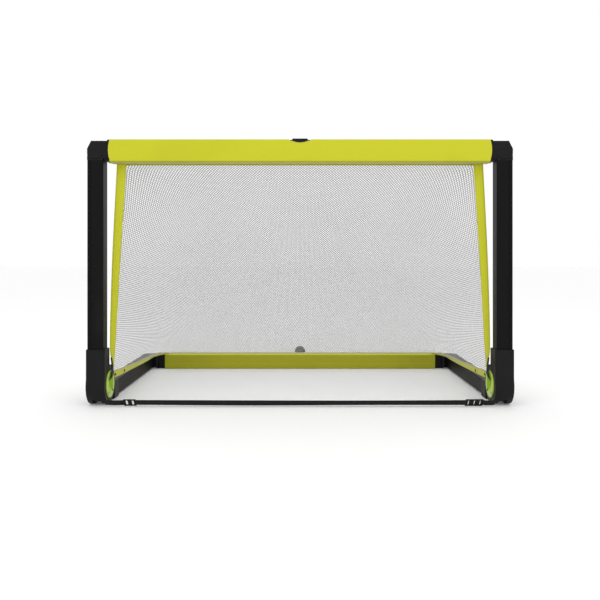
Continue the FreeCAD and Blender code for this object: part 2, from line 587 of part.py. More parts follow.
def knuckle():
    """The front end of a side bar, drawn upright: the ring on the hub, a web and the tube's socket."""
    x0, x1 = RING_LOW_X + RING_SIDE_GAP, RING_HIGH_X - RING_SIDE_GAP
    y0, y1 = FRONT_Y - ARM_W / 2, FRONT_Y + ARM_W / 2
    ring = rod_x(RING_RADIUS, x0, x1, DISC_Y, DISC_Z)
    web = box(x0, x1, y0, y1, DISC_Z, DISC_Z + KNUCKLE_START + 1)
    block = box(HOUSING_IN + KNUCKLE_SIDE_GAP, GOAL_WIDTH / 2 - KNUCKLE_SIDE_GAP,
                DISC_Y - HOUSING_RADIUS + KNUCKLE_SIDE_GAP, DISC_Y - HOUSING_BACK_GAP,
                DISC_Z + KNUCKLE_START, HOUSING_TOP)
    block = rounded(block, HOUSING_EDGE_ROUND, lambda b: along_z(b) and b.YMax < DISC_Y - 20)
    bore = rod_x(HUB_RADIUS + RUNNING_CLEARANCE, x0 - 1, x1 + 1, DISC_Y, DISC_Z)
    ring_limit = rod_x(HUB_RADIUS + 1, x0 - 1, x1 + 1, DISC_Y, DISC_Z)
    solid = ring.fuse([web.cut(ring_limit), block]).removeSplitter()
    return solid.cut([bore, socket_pocket(SOCKET_FLOOR_Z, HOUSING_TOP + 1)])


def back_net():
    """The sloping back of the net, as a thin closed sheet."""
    y0, z0 = FRONT_Y + NET_TOP_INSET, PIVOT_Z - SLEEVE_DEPTH - FLAP_THICKNESS - SOFT_GAP
    y1, z1 = net_foot()
    corners = [(-NET_HALF_TOP, y0, z0), (NET_HALF_TOP, y0, z0), (NET_HALF_BOTTOM, y1, z1),
               (-NET_HALF_BOTTOM, y1, z1)]
    return plate(corners, (0, 0, -NET_THICKNESS))


def net_foot():
    """Where the net meets the rear beam's flap: Y and Z."""
    y = DISC_Y + ARM_LENGTH - SLEEVE_DEPTH - FLAP_THICKNESS - SOFT_GAP
    return y, DISC_Z - PLANE_OFFSET + SLEEVE_OUT


def side_net():
    """The right-hand triangle of the net, from the crossbar's end to the side bar."""
    y0, z0 = FRONT_Y + NET_TOP_INSET, PIVOT_Z - SLEEVE_DEPTH - FLAP_THICKNESS - SOFT_GAP
    y1, z1 = net_foot()
    inside = HOUSING_IN - DISC_FLANGE - SOFT_GAP
    corners = [(NET_HALF_TOP + SOFT_GAP, y0, z0),
               (inside, DISC_Y + BAR_BAND_START - BAND_WIDTH, BAR_BAND_FRONT_TOP),
               (NET_HALF_BOTTOM + SOFT_GAP, y1, z1)]
    return plate(corners, (NET_THICKNESS, 0, 0))


def side_band():
    """The right-hand edge band, from the crossbar's end down to the lower corner."""
    y0, z0 = FRONT_Y - BAND_WIDTH / 2, PIVOT_Z - SLEEVE_DEPTH - FLAP_THICKNESS - SOFT_GAP
    inside = HOUSING_IN - DISC_FLANGE - 2 * SOFT_GAP
    y1, z1 = DISC_Y + BAND_WIDTH, BAND_FOOT_HEIGHT
    corners = [(BAND_TOP_X - BAND_WIDTH / 2, y0, z0), (BAND_TOP_X + BAND_WIDTH / 2, y0 + BAND_LEAN, z0),
               (inside, y1, z1), (inside - BAND_WIDTH / 3, y1 + BAND_WIDTH / 3, z1)]
    lower = [V(x, y, z) for x, y, z in corners]
    upper = [V(x, y + BAND_THICKNESS, z) for x, y, z in corners]
    return prism(lower, upper)


def prism(lower, upper):
    """A closed solid between two matching outlines of four corners, each face in two triangles."""
    faces = []
    for ring in (lower, upper):
        faces.append([ring[0], ring[1], ring[2]])
        faces.append([ring[0], ring[2], ring[3]])
    for i in range(4):
        j = (i + 1) % 4
        faces.append([lower[i], lower[j], upper[j]])
        faces.append([lower[i], upper[j], upper[i]])
    shell = Part.makeShell([Part.Face(Part.makePolygon(face + [face[0]])) for face in faces])
    solid = Part.makeSolid(shell)
    if solid.Volume < 0:
        solid.reverse()
    return solid


def flap(half_length):
    """The strip of cover fabric that closes the open side of a channel."""
    z1 = PIVOT_Z - SLEEVE_DEPTH
    return box(-half_length, half_length, FRONT_Y - SLEEVE_OUT, FRONT_Y + SLEEVE_OUT,
               z1 - FLAP_THICKNESS, z1)


def bar_band():
    """The net's lower edge band on the inner side of the right-hand side bar."""
    x1 = ARM_CENTRE_X - ARM_X / 2 - SOFT_GAP / 2
    y0, y1 = DISC_Y + BAR_BAND_START, DISC_Y + BAR_BAND_END
    corners = [(x1, y0, BAR_BAND_LOW), (x1, y1, BAR_BAND_LOW), (x1, y1, BAR_BAND_REAR_TOP),
               (x1, y0, BAR_BAND_FRONT_TOP)]
    return plate(corners, (-BAND_THICKNESS, 0, 0))


def band_rivets():
    """The two rivets that hold the lower band near the front."""
    x1 = ARM_CENTRE_X - ARM_X / 2 - SOFT_GAP / 2 - BAND_THICKNESS
    z = (BAR_BAND_LOW + DISC_Z) / 2
    rivets = []
    for step in RIVET_STEPS:
        y = DISC_Y + BAR_BAND_START + step
        rivets.append(rod_x(RIVET_RADIUS, x1 - RIVET_HEAD, x1, y, z))
    return Part.makeCompound(rivets)


def strap_piece(x0, x1, width, thickness):
    """A stretch of webbing, or a flat fitting on it, tilted the way the strap lies."""
    y = DISC_Y - HOUSING_RADIUS + STRAP_WIDTH / 2
    piece = box(x0, x1, y - thickness / 2, y + thickness / 2,
                STRAP_HEIGHT - width / 2, STRAP_HEIGHT + width / 2)
    piece.rotate(V(0, y, STRAP_HEIGHT), V(1, 0, 0), STRAP_TILT)
    return piece


def fitting(x0, x1, rim, window, count):
    """A flat strap fitting: a rim round evenly spaced windows, each as wide as the webbing."""
    solid = strap_piece(x0, x1, STRAP_WIDTH + 2 * rim, FITTING_THICKNESS)
    pitch = (x1 - x0) / count
    holes = []
    for i in range(count):
        middle = x0 + (i + 0.5) * pitch
        holes.append(strap_piece(middle - window / 2, middle + window / 2, STRAP_WIDTH,
                                 FITTING_THICKNESS + 2))
    return solid.cut(holes)


def webbing(x0, x1):
    """The webbing between two ends, a gap short of each."""
    return strap_piece(x0 + STRAP_END_GAP, x1 - STRAP_END_GAP, STRAP_WIDTH - STRAP_EDGE_GAP, STRAP_THICKNESS)


def strap_run():
    """The ground strap between its hook and its buckle."""
    return webbing(HOOK_X + HOOK_LENGTH, BUCKLE_X)


def strap_tail():
    """The short end of webbing between the buckle and the right-hand corner."""
    return webbing(BUCKLE_X + BUCKLE_LENGTH, HOUSING_IN)


def strap_loop():
    """The short loop of webbing on the left-hand corner that the hook catches."""
    return webbing(-HOUSING_IN, HOOK_X)


def pull_tab():
    """The webbing tab that comes out of the finger slot and lies up the inner face."""
    x1 = HOUSING_IN - DISC_FLANGE - SOFT_GAP / 2
    z0 = DISC_Z + GRIP_SLOT_LOW + TAB_START
    corners = [(x1, DISC_Y - TAB_WIDTH / 2, z0), (x1, DISC_Y + TAB_WIDTH / 2, z0),
               (x1, DISC_Y + TAB_WIDTH / 5, z0 + TAB_HEIGHT), (x1, DISC_Y - TAB_WIDTH / 5, z0 + TAB_HEIGHT)]
    return plate(corners, (-TAB_THICKNESS, 0, 0))


def build():
    """Write every node."""
    os.makedirs("parts", exist_ok=True)
    write("crossbar_channel", channel())
    write("crossbar_sleeve", sleeve(SLEEVE_HALF_LENGTH))
    write("crossbar_stop", centre_stop())
    write("crossbar_bezel", bezel())
    write("crossbar_button", button())
    write("crossbar_button_spring", spring())
    write("crossbar_flap", flap(NET_HALF_TOP - BAND_WIDTH))
    write("rear_channel", to_ground(channel()))
    write("rear_cover", to_ground(sleeve(REAR_COVER_HALF_LENGTH)))
    write("rear_stop", to_ground(centre_stop()))
    write("rear_bezel", to_ground(bezel()))
    write("rear_button", dome_button())
    write("rear_button_spring", to_ground(spring()))
    write("rear_flap", to_ground(flap(REAR_COVER_HALF_LENGTH - BAND_WIDTH)))
    write_pair("crossbar_collar", collar())
    write_pair("rear_collar", to_ground(collar()))
    write_pair("elbow_slider", slider())
    write_pair("elbow_pin", elbow_pin())
    write_pair("rear_slider", to_ground(slider()))
    write_pair("rear_stub_pins", to_ground(stub_pins()))
    write_pair("post_head", shouldered(arm_head(FRONT_TONGUE)))
    write_pair("post_tube", arm_tube(SOCKET_FLOOR_Z))
    write_pair("corner_housing", housing())
    write_pair("grip_disc", grip_disc())
    write_pair("grip_screws", Part.makeCompound([disc_screw(y, z) for y, z in screw_places()]))
    write_pair("pull_tab", pull_tab())
    write_pair("side_knuckle", to_ground(knuckle()))
    write_pair("side_tube", to_ground(arm_tube(SOCKET_FLOOR_Z)))
    write_pair("side_head", to_ground(arm_head(REAR_TONGUE)))
    write_pair("bar_band", bar_band())
    write_pair("band_rivets", band_rivets())
    write_pair("net_side", side_net())
    write_pair("side_band", side_band())
    write("net_back", back_net())
    write("ground_strap", strap_run())
    write("strap_tail", strap_tail())
    write("strap_loop", strap_loop())
    write("strap_buckle", fitting(BUCKLE_X, BUCKLE_X + BUCKLE_LENGTH, BUCKLE_RIM, BUCKLE_WINDOW, 3))
    write("strap_hook", fitting(HOOK_X, HOOK_X + HOOK_LENGTH, HOOK_RIM, HOOK_WINDOW, 2))


if __name__ == "__main__":
    build()
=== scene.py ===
"""The looks of the pop up goal: its finishes, its fabric and net, and the studio round it.

Every length is in metres. The frame's own pieces keep their shapes and get their finishes here. The
sleeve, the rear cover, the net, the bands, the tabs and the ground strap are modelled here and stand
for their plain solids. Places come from the boxes of the frame's nodes.
"""

import json
import logging
import math
from dataclasses import dataclass, field
from enum import Enum
from typing import Callable, NamedTuple, Optional, Sequence, Union

import bmesh
import bpy
from mathutils import Matrix, Vector


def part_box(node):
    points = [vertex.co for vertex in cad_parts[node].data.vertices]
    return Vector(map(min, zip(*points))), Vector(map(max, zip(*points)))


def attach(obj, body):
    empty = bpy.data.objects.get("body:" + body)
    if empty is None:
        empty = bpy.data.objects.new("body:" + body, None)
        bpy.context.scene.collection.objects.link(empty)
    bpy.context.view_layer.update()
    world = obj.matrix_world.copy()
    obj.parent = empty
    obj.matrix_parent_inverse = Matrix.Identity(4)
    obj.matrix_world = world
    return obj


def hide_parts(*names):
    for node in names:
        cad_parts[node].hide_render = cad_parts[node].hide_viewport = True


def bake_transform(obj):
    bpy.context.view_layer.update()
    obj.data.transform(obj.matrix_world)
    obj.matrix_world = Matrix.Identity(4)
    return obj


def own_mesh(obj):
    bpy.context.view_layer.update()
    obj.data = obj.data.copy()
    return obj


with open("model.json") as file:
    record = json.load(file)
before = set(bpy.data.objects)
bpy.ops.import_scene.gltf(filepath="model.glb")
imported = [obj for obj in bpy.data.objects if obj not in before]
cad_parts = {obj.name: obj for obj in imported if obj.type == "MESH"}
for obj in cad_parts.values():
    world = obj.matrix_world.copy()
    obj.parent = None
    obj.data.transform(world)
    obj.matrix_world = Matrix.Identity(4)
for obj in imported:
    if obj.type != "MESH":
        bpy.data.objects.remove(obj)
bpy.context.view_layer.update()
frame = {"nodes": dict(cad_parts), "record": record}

LOG = logging.getLogger("goal")
Number = Union[float, "Link"]
Colour = tuple[float, float, float, float]
Material = bpy.types.Material
Object = bpy.types.Object
BMesh = bmesh.types.BMesh
SLOT_LIME = "lime_fabric"
UV_NAME = "Flat"


class Side(Enum):
    """The left or the right of the goal, as a shooter sees it."""

    LEFT = -1
    RIGHT = 1

    @property
    def label(self) -> str:
        """The word that node and body names end with."""
        return self.name.lower()


class Lie(Enum):
    """How one of the two U frames is set up."""

    STANDING = "standing"
    FLAT = "flat"


# Shader tools


class Link:
    """One value in a node tree. Arithmetic on it adds Math nodes."""

    def __init__(self, recipe: "Recipe", socket: bpy.types.NodeSocket) -> None:
        """Args:
            recipe: The material's node tree builder.
            socket: The output that carries the value.
        """
        self.recipe = recipe
        self.socket = socket

    def _math(self, operation: str, *values: Number) -> "Link":
        """Adds one Math node.

        Args:
            operation: The node's operation.
            values: Its inputs, in order.

        Returns:
            The node's result.
        """
        return self.recipe.add("ShaderNodeMath", {"operation": operation}, dict(enumerate(values)))

    def __add__(self, other: Number) -> "Link":
        """Sum."""
        return self._math("ADD", self, other)

    def __sub__(self, other: Number) -> "Link":
        """Difference."""
        return self._math("SUBTRACT", self, other)

    def __mul__(self, other: Number) -> "Link":
        """Product."""
        return self._math("MULTIPLY", self, other)

    def __truediv__(self, other: Number) -> "Link":
        """Quotient."""
        return self._math("DIVIDE", self, other)

    def __rsub__(self, other: Number) -> "Link":
        """A number less this."""
        return self._math("SUBTRACT", other, self)

    __radd__ = __add__
    __rmul__ = __mul__

    def over(self, limit: Number) -> "Link":
        """1 where the value is over a limit, else 0."""
        return self._math("GREATER_THAN", self, limit)

    def top(self, other: Number) -> "Link":
        """The larger of this and another value."""
        return self._math("MAXIMUM", self, other)

    def wave(self, period: float) -> "Link":
        """A sine of the value with a given period, from 0 to 1."""
        return self._math("SINE", self * (2 * math.pi / period)) * 0.5 + 0.5

    def repeat(self, period: float) -> "Link":
        """The share of the way through each period, from 0 to 1."""
        return self._math("FRACT", self / period)

    def near(self, place: float, width: float) -> "Link":
        """1 within half a width of a place, else 0."""
        return self._math("COMPARE", self, place, width / 2)

    def ramp(self, low: float, high: float) -> "Link":
        """A smooth step from 0 at low to 1 at high."""
        settings = {"interpolation_type": "SMOOTHSTEP"}
        inputs = {"Value": self, "From Min": low, "From Max": high}
        return self.recipe.add("ShaderNodeMapRange", settings, inputs)


class Recipe:
    """Builds the node tree of one material."""

    def __init__(self, name: str) -> None:
        """Args:
            name: The material's name.
        """
        self.material = bpy.data.materials.new(name)
        self.material.use_nodes = True
        self.tree = self.material.node_tree
        self.shader = self.tree.nodes["Principled BSDF"]

    def add(self, kind: str, settings: Optional[dict] = None, inputs: Optional[dict] = None,
            output: Union[int, str] = 0) -> Link:
        """Adds any node.

        Args:
            kind: The node's type.
            settings: Its properties, set before its inputs.
            inputs: Values or links by socket name or index.
            output: Which output to hand back.

        Returns:
            The chosen output.
        """
        node = self.tree.nodes.new(kind)
        for key, value in (settings or {}).items():
            setattr(node, key, value)
        for key, value in (inputs or {}).items():
            self._feed(node.inputs[key], value)
        return Link(self, node.outputs[output])

    def _feed(self, socket: bpy.types.NodeSocket, value: object) -> None:
        """Links or sets one input."""
        if isinstance(value, Link):
            self.tree.links.new(value.socket, socket)
        else:
            socket.default_value = value

    def place(self, stretch: Sequence[float] = (1, 1, 1)) -> Link:
        """The point on the piece, in metres, with each axis scaled."""
        point = self.add("ShaderNodeTexCoord", output="Object")
        return self.add("ShaderNodeMapping", None, {"Vector": point, "Scale": tuple(stretch)})

    def flat(self) -> tuple[Link, Link]:
        """The piece's own flat map, in metres: along and across."""
        both = self.add("ShaderNodeUVMap", {"uv_map": UV_NAME})
        split = self.add("ShaderNodeSeparateXYZ", None, {"Vector": both})
        return split, Link(self, split.socket.node.outputs["Y"])

    def noise(self, scale: float, detail: float = 2.0, stretch: Sequence[float] = (1, 1, 1)) -> Link:
        """Noise over the piece, from 0 to 1."""
        inputs = {"Vector": self.place(stretch), "Scale": scale, "Detail": detail}
        return self.add("ShaderNodeTexNoise", None, inputs, "Fac")

    def mix(self, share: Number, first: object, second: object) -> Link:
        """A colour between two colours."""
        settings = {"data_type": "RGBA"}
        inputs = {"Factor": share, 6: first, 7: second}
        return self.add("ShaderNodeMix", settings, inputs, 2)

    def bump(self, height: Link, distance: float, strength: float = 1.0) -> Link:
        """A normal raised by a height from 0 to 1."""
        inputs = {"Height": height, "Distance": distance, "Strength": strength}
        return self.add("ShaderNodeBump", None, inputs)

    def finish(self, constants: dict, varying: dict) -> Material:
        """Sets the shader.

        Args:
            constants: Numbers and colours that are the same all over.
            varying: Links for what changes over the surface.

        Returns:
            The finished material.
        """
        for key, value in {**constants, **varying}.items():
            self._feed(self.shader.inputs[key], value)
        return self.material


def rgb(red: float, green: float, blue: float) -> Colour:
    """A linear colour with no transparency."""
    return (red, green, blue, 1.0)


@dataclass(frozen=True)
class Moulding:
    """Moulded plastic with a fine spark-eroded grain and scuffs."""

    name: str
    colour: Colour
    scuff: Colour
    roughness: float = 0.46
    grain: float = 1400.0
    grain_depth: float = 0.00006
    coat: float = 0.0
    shine: float = 0.15

    def make(self) -> Material:
        """Builds the material."""
        r = Recipe(self.name)
        cloud = r.noise(14.0, 4.0)
        scuffs = (r.noise(55.0, 6.0, (1, 1, 5)) * r.noise(9.0, 2.0)).ramp(0.36, 0.5)
        near_ground = 1 - r.add("ShaderNodeSeparateXYZ", None, {"Vector": r.place()}, "Z").ramp(0.0, 0.05)
        dust = near_ground * cloud.ramp(0.35, 0.75) * 0.35
        shade = r.mix(scuffs * 0.5 + dust, self.colour, self.scuff)
        grain = r.noise(self.grain, 2.0)
        rough = self.roughness + scuffs * 0.12 + (cloud - 0.5) * 0.08
        varying = {"Base Color": shade, "Roughness": rough, "Normal": r.bump(grain, self.grain_depth)}
        constants = {"Coat Weight": self.coat, "Coat Roughness": 0.25, "Specular IOR Level": self.shine}
        return r.finish(constants, varying)


@dataclass(frozen=True)
class DrawnTube:
    """Black anodised tube with fine drawing lines along it."""

    name: str
    colour: Colour
    streak: Colour
    along: tuple[float, float, float] = (1.0, 1.0, 0.02)
    roughness: float = 0.38

    def make(self) -> Material:
        """Builds the material."""
        r = Recipe(self.name)
        lines = r.noise(900.0, 3.0, self.along)
        cloud = r.noise(6.0, 3.0)
        rubbed = (r.noise(30.0, 5.0, self.along) * cloud).ramp(0.33, 0.48)
        shade = r.mix(rubbed * 0.35 + lines * 0.25, self.colour, self.streak)
        rough = self.roughness + lines * 0.1 + cloud * 0.06
        return r.finish({"Specular IOR Level": 0.08},
                        {"Base Color": shade, "Roughness": rough, "Normal": r.bump(lines, 0.00003)})


@dataclass(frozen=True)
class Cloth:
    """Woven polyester on a flat map in metres, with rows of stitches at given places across it."""

    name: str
    colour: Colour
    shadow: Colour
    thread: Colour
    pitch: float = 0.0016
    stitch_rows: tuple[float, ...] = ()
    stitch_length: float = 0.004
    stitch_width: float = 0.0009
    weave_depth: float = 0.00018
    roughness: float = 0.78
    sheen: float = 0.25

    def make(self) -> Material:
        """Builds the material."""
        r = Recipe(self.name)
        along, across = r.flat()
        warp, weft = along.wave(self.pitch), across.wave(self.pitch)
        weave = warp * weft + (1 - warp) * (1 - weft)
        slub = r.noise(380.0, 3.0)
        cloud = r.noise(5.0, 3.0)
        soil = cloud.ramp(0.45, 0.8) * 0.2
        # Darker with soil and slubs, and painted shade in the weave's low places, where the bump sinks.
        shade = r.mix(soil + (1 - weave) * 0.14 + slub * 0.1, self.colour, self.shadow)
        height = weave * 0.5 + slub * 0.3
        if self.stitch_rows:
            rows = self._rows(across)
            stitch = rows * along.repeat(self.stitch_length).ramp(0.18, 0.34)
            shade = r.mix(stitch * 0.85, shade, self.thread)
            height = height - rows * 0.5 + stitch * 1.3
        rough = self.roughness + (slub - 0.5) * 0.15
        varying = {"Base Color": shade, "Roughness": rough, "Normal": r.bump(height, self.weave_depth)}
        constants = {"Sheen Weight": self.sheen, "Sheen Roughness": 0.45, "Specular IOR Level": 0.25}
        return r.finish(constants, varying)

    def _rows(self, across: Link) -> Link:
        """1 on the rows of stitches, else 0."""
        total = across.near(self.stitch_rows[0], self.stitch_width)
        for row in self.stitch_rows[1:]:
            total = total + across.near(row, self.stitch_width)
        return total


@dataclass(frozen=True)
class Webbing:
    """Ribbed webbing on a flat map in metres."""

    name: str
    colour: Colour
    rib: Colour
    pitch: float = 0.0022

    def make(self) -> Material:
        """Builds the material."""
        r = Recipe(self.name)
        along, across = r.flat()
        ribs = across.wave(self.pitch)
        picks = (along + across * 0.5).wave(self.pitch * 0.9)
        weave = ribs * 0.6 + picks * 0.4
        fuzz = r.noise(700.0, 3.0)
        # Painted highlight on the raised ribs, which lean to the lighter colour while the grooves stay dark,
        # and lighter fuzz at random.
        shade = r.mix(weave * 0.55 + fuzz * 0.3, self.colour, self.rib)
        varying = {"Base Color": shade, "Roughness": 0.62 + fuzz * 0.2,
                   "Normal": r.bump(weave + fuzz * 0.3, 0.00025)}
        return r.finish({"Sheen Weight": 0.06, "Specular IOR Level": 0.12}, varying)


@dataclass(frozen=True)
class Netting:
    """Fine knotted netting on a flat map in metres: diamonds of yarn with open air between."""

    name: str
    colour: Colour
    shadow: Colour
    pitch: float = 0.0060
    yarn: float = 0.34
    knot: float = 0.25

    def make(self) -> Material:
        """Builds the material."""
        r = Recipe(self.name)
        along, across = r.flat()
        diagonal = math.sqrt(0.5)
        one = ((along + across) * diagonal).repeat(self.pitch) - 0.5
        other = ((along - across) * diagonal).repeat(self.pitch) - 0.5
        first, second = one * one, other * other
        limit = (self.yarn / 2) ** 2
        knots = (self.knot ** 2 - (first + second)).over(0)
        solid = (limit - first).top(limit - second).over(0).top(knots)
        twist = (along + across * 0.4).wave(0.0011)
        fibre = r.noise(800.0, 2.0)
        cloud = r.noise(6.0, 3.0)
        shade = r.mix(cloud.ramp(0.35, 0.75) * 0.25 + fibre * 0.2 + twist * 0.12, self.colour, self.shadow)
        round_yarn = (1 - first * (1 / limit)).top(1 - second * (1 / limit)) * 0.7 + twist * 0.2 + knots * 0.3
        varying = {"Base Color": shade, "Roughness": 0.66 + fibre * 0.2, "Alpha": solid,
                   "Normal": r.bump(round_yarn, 0.0003)}
        return r.finish({"Sheen Weight": 0.2, "Specular IOR Level": 0.3}, varying)


@dataclass(frozen=True)
class PlatedSteel:
    """Plated or blackened steel with faint turning marks."""

    name: str
    colour: Colour
    stain: Colour
    roughness: float = 0.3

    def make(self) -> Material:
        """Builds the material."""
        r = Recipe(self.name)
        marks = r.noise(1500.0, 2.0, (1, 1, 0.1))
        cloud = r.noise(60.0, 4.0)
        shade = r.mix(cloud.ramp(0.4, 0.8) * 0.5, self.colour, self.stain)
        varying = {"Base Color": shade, "Roughness": self.roughness + marks * 0.15 + cloud * 0.1,
                   "Normal": r.bump(marks, 0.00002)}
        return r.finish({"Metallic": 1.0}, varying)


class Finishes:
    """Every material of the goal, by name."""

    def __init__(self) -> None:
        """Makes the materials."""
        black, scuff = rgb(0.0065, 0.0065, 0.007), rgb(0.022, 0.022, 0.024)
        lime, olive, thread = rgb(0.58, 0.585, 0.019), rgb(0.38, 0.39, 0.012), rgb(0.70, 0.72, 0.08)
        self.black = Moulding("black_moulding", black, scuff).make()
        anodised, streak = rgb(0.004, 0.004, 0.0044), rgb(0.014, 0.014, 0.0155)
        self.tube_upright = DrawnTube("tube_upright", anodised, streak).make()
        self.tube_flat = DrawnTube("tube_flat", anodised, streak, (1, 0.02, 1)).make()
        self.tube_cross = DrawnTube("tube_cross", anodised, streak, (0.02, 1, 1)).make()
        self.grey = Moulding("grey_moulding", rgb(0.05, 0.05, 0.055), rgb(0.1, 0.1, 0.105)).make()
        self.green = Moulding("green_moulding", rgb(0.42, 0.62, 0.055), rgb(0.52, 0.70, 0.16),
                              roughness=0.34, grain_depth=0.00003, coat=0.25, shine=0.4).make()
        hem_rows = (0.006, 0.0095)
        self.sleeve = Cloth("sleeve_cloth", lime, olive, thread, stitch_rows=hem_rows).make()
        # The flap cloth is a darker copy of the lime fabric: painted shade on the covers' faces that turn down
        # or towards the mouth, and on the net's top hem.
        self.flap = Cloth("flap_painted_shade_cloth", rgb(0.41, 0.40, 0.02), rgb(0.25, 0.245, 0.012), rgb(0.5, 0.5, 0.05),
                          stitch_rows=hem_rows).make()
        self.band = Cloth("band_cloth", lime, olive, thread, pitch=0.0014, stitch_rows=(0.003, -0.003),
                          weave_depth=0.00015).make()
        self.net = Netting("netting", rgb(0.40, 0.40, 0.41), rgb(0.26, 0.26, 0.27)).make()
        self.webbing = Webbing("black_webbing", rgb(0.005, 0.005, 0.0055), rgb(0.018, 0.018, 0.02)).make()
        self.steel = PlatedSteel("plated_steel", rgb(0.62, 0.62, 0.64), rgb(0.4, 0.39, 0.37)).make()
        self.black_steel = PlatedSteel("black_steel", rgb(0.02, 0.02, 0.021), rgb(0.045, 0.04, 0.036),
                                       roughness=0.5).make()


# Mesh tools


def loft(bm: BMesh, sections: Sequence[Sequence[Vector]], across_start: float = 0.0) -> None:
    """Extrudes an edge chain through a row of sections and lays a flat map in metres on it.

    Args:
        bm: The mesh to add to.
        sections: Chains of points, all of the same length.
        across_start: What the map's across value is at each chain's first point.
    """
    flat = bm.loops.layers.uv.get(UV_NAME) or bm.loops.layers.uv.new(UV_NAME)
    chain = [bm.verts.new(point) for point in sections[0]]
    edges = [bm.edges.new(pair) for pair in zip(chain, chain[1:])]
    across = [across_start]
    for first, second in zip(sections[0], sections[0][1:]):
        across.append(across[-1] + (second - first).length)
    along = 0.0
    for before, points in zip(sections, sections[1:]):
        made = bmesh.ops.extrude_edge_only(bm, edges=edges)["geom"]
        fresh = {v for v in made if isinstance(v, bmesh.types.BMVert)}
        faces = [f for f in made if isinstance(f, bmesh.types.BMFace)]
        following = [next(e.other_vert(v) for e in v.link_edges if e.other_vert(v) in fresh) for v in chain]
        for vert, point in zip(following, points):
            vert.co = point
        step = sum((b - a).length for a, b in zip(before, points)) / len(points)
        place = {v: (along, s) for v, s in zip(chain, across)}
        place.update({v: (along + step, s) for v, s in zip(following, across)})
        for face in faces:
            for loop in face.loops:
                loop[flat].uv = place[loop.vert]
        edges = [e for e in made if isinstance(e, bmesh.types.BMEdge) and all(v in fresh for v in e.verts)]
        chain, along = following, along + step


def piece(bm: BMesh, name: str, material: Material, body: str,
          stands_for: Sequence[str] = ()) -> Object:
    """Makes a finished object of a mesh and lets it ride on a body.

    Args:
        bm: The mesh, which is freed.
        name: The object's name.
        material: Its finish.
        body: The body it moves with, or nothing for a piece that rides on no body.
        stands_for: The nodes that it replaces.

    Returns:
        The object.
    """
    mesh = bpy.data.meshes.new(name)
    for face in bm.faces:
        face.smooth = True
    bm.to_mesh(mesh)
    bm.free()
    mesh.materials.append(material)
    made = bpy.data.objects.new(name, mesh)
    bpy.context.scene.collection.objects.link(made)
    if body:
        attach(made, body)
    if stands_for:
        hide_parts(*stands_for)
    LOG.info("%s: %d faces", name, len(mesh.polygons))
    return made


def thicken(made: Object, thickness: float, offset: float = 0.0) -> None:
    """Gives a sheet its thickness."""
    wall = made.modifiers.new("thickness", "SOLIDIFY")
    wall.thickness = thickness
    wall.offset = offset


def arc(centre: tuple[float, float], radius: float, start: float, end: float,
        steps: int) -> list[tuple[float, float]]:
    """Points along an arc, both ends included, with angles in degrees."""
    points = []
    for i in range(steps + 1):
        angle = math.radians(start + (end - start) * i / steps)
        points.append((centre[0] + radius * math.cos(angle), centre[1] + radius * math.sin(angle)))
    return points


def blend(start: float, end: float, share: float) -> float:
    """A value a share of the way between two."""
    return start + (end - start) * share


def ripple(x: float, y: float, z: float) -> float:
    """A soft irregular wave from about -1 to 1, the same on every run."""
    waves = (31.0 * x + 7.0 * z, 57.0 * z - 13.0 * x + 1.7, 83.0 * x + 29.0 * y)
    return sum(math.sin(wave) for wave in waves) / len(waves)


# The goal


@dataclass
class Setting:
    """Where the frame is, read from its nodes."""

    sleeve_low: Vector = field(init=False)
    sleeve_high: Vector = field(init=False)
    cover_low: Vector = field(init=False)
    cover_high: Vector = field(init=False)
    housing_in: float = field(init=False)
    disc: Vector = field(init=False)
    tube_in: float = field(init=False)

    def __post_init__(self) -> None:
        """Reads the boxes."""
        self.sleeve_low, self.sleeve_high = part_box("crossbar_sleeve")
        self.cover_low, self.cover_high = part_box("rear_cover")
        self.housing_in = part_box("corner_housing_right")[0].x
        low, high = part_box("grip_disc_right")
        self.disc = Vector((low.x, (low.y + high.y) / 2, (low.z + high.z) / 2))
        self.tube_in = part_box("side_tube_right")[0].x


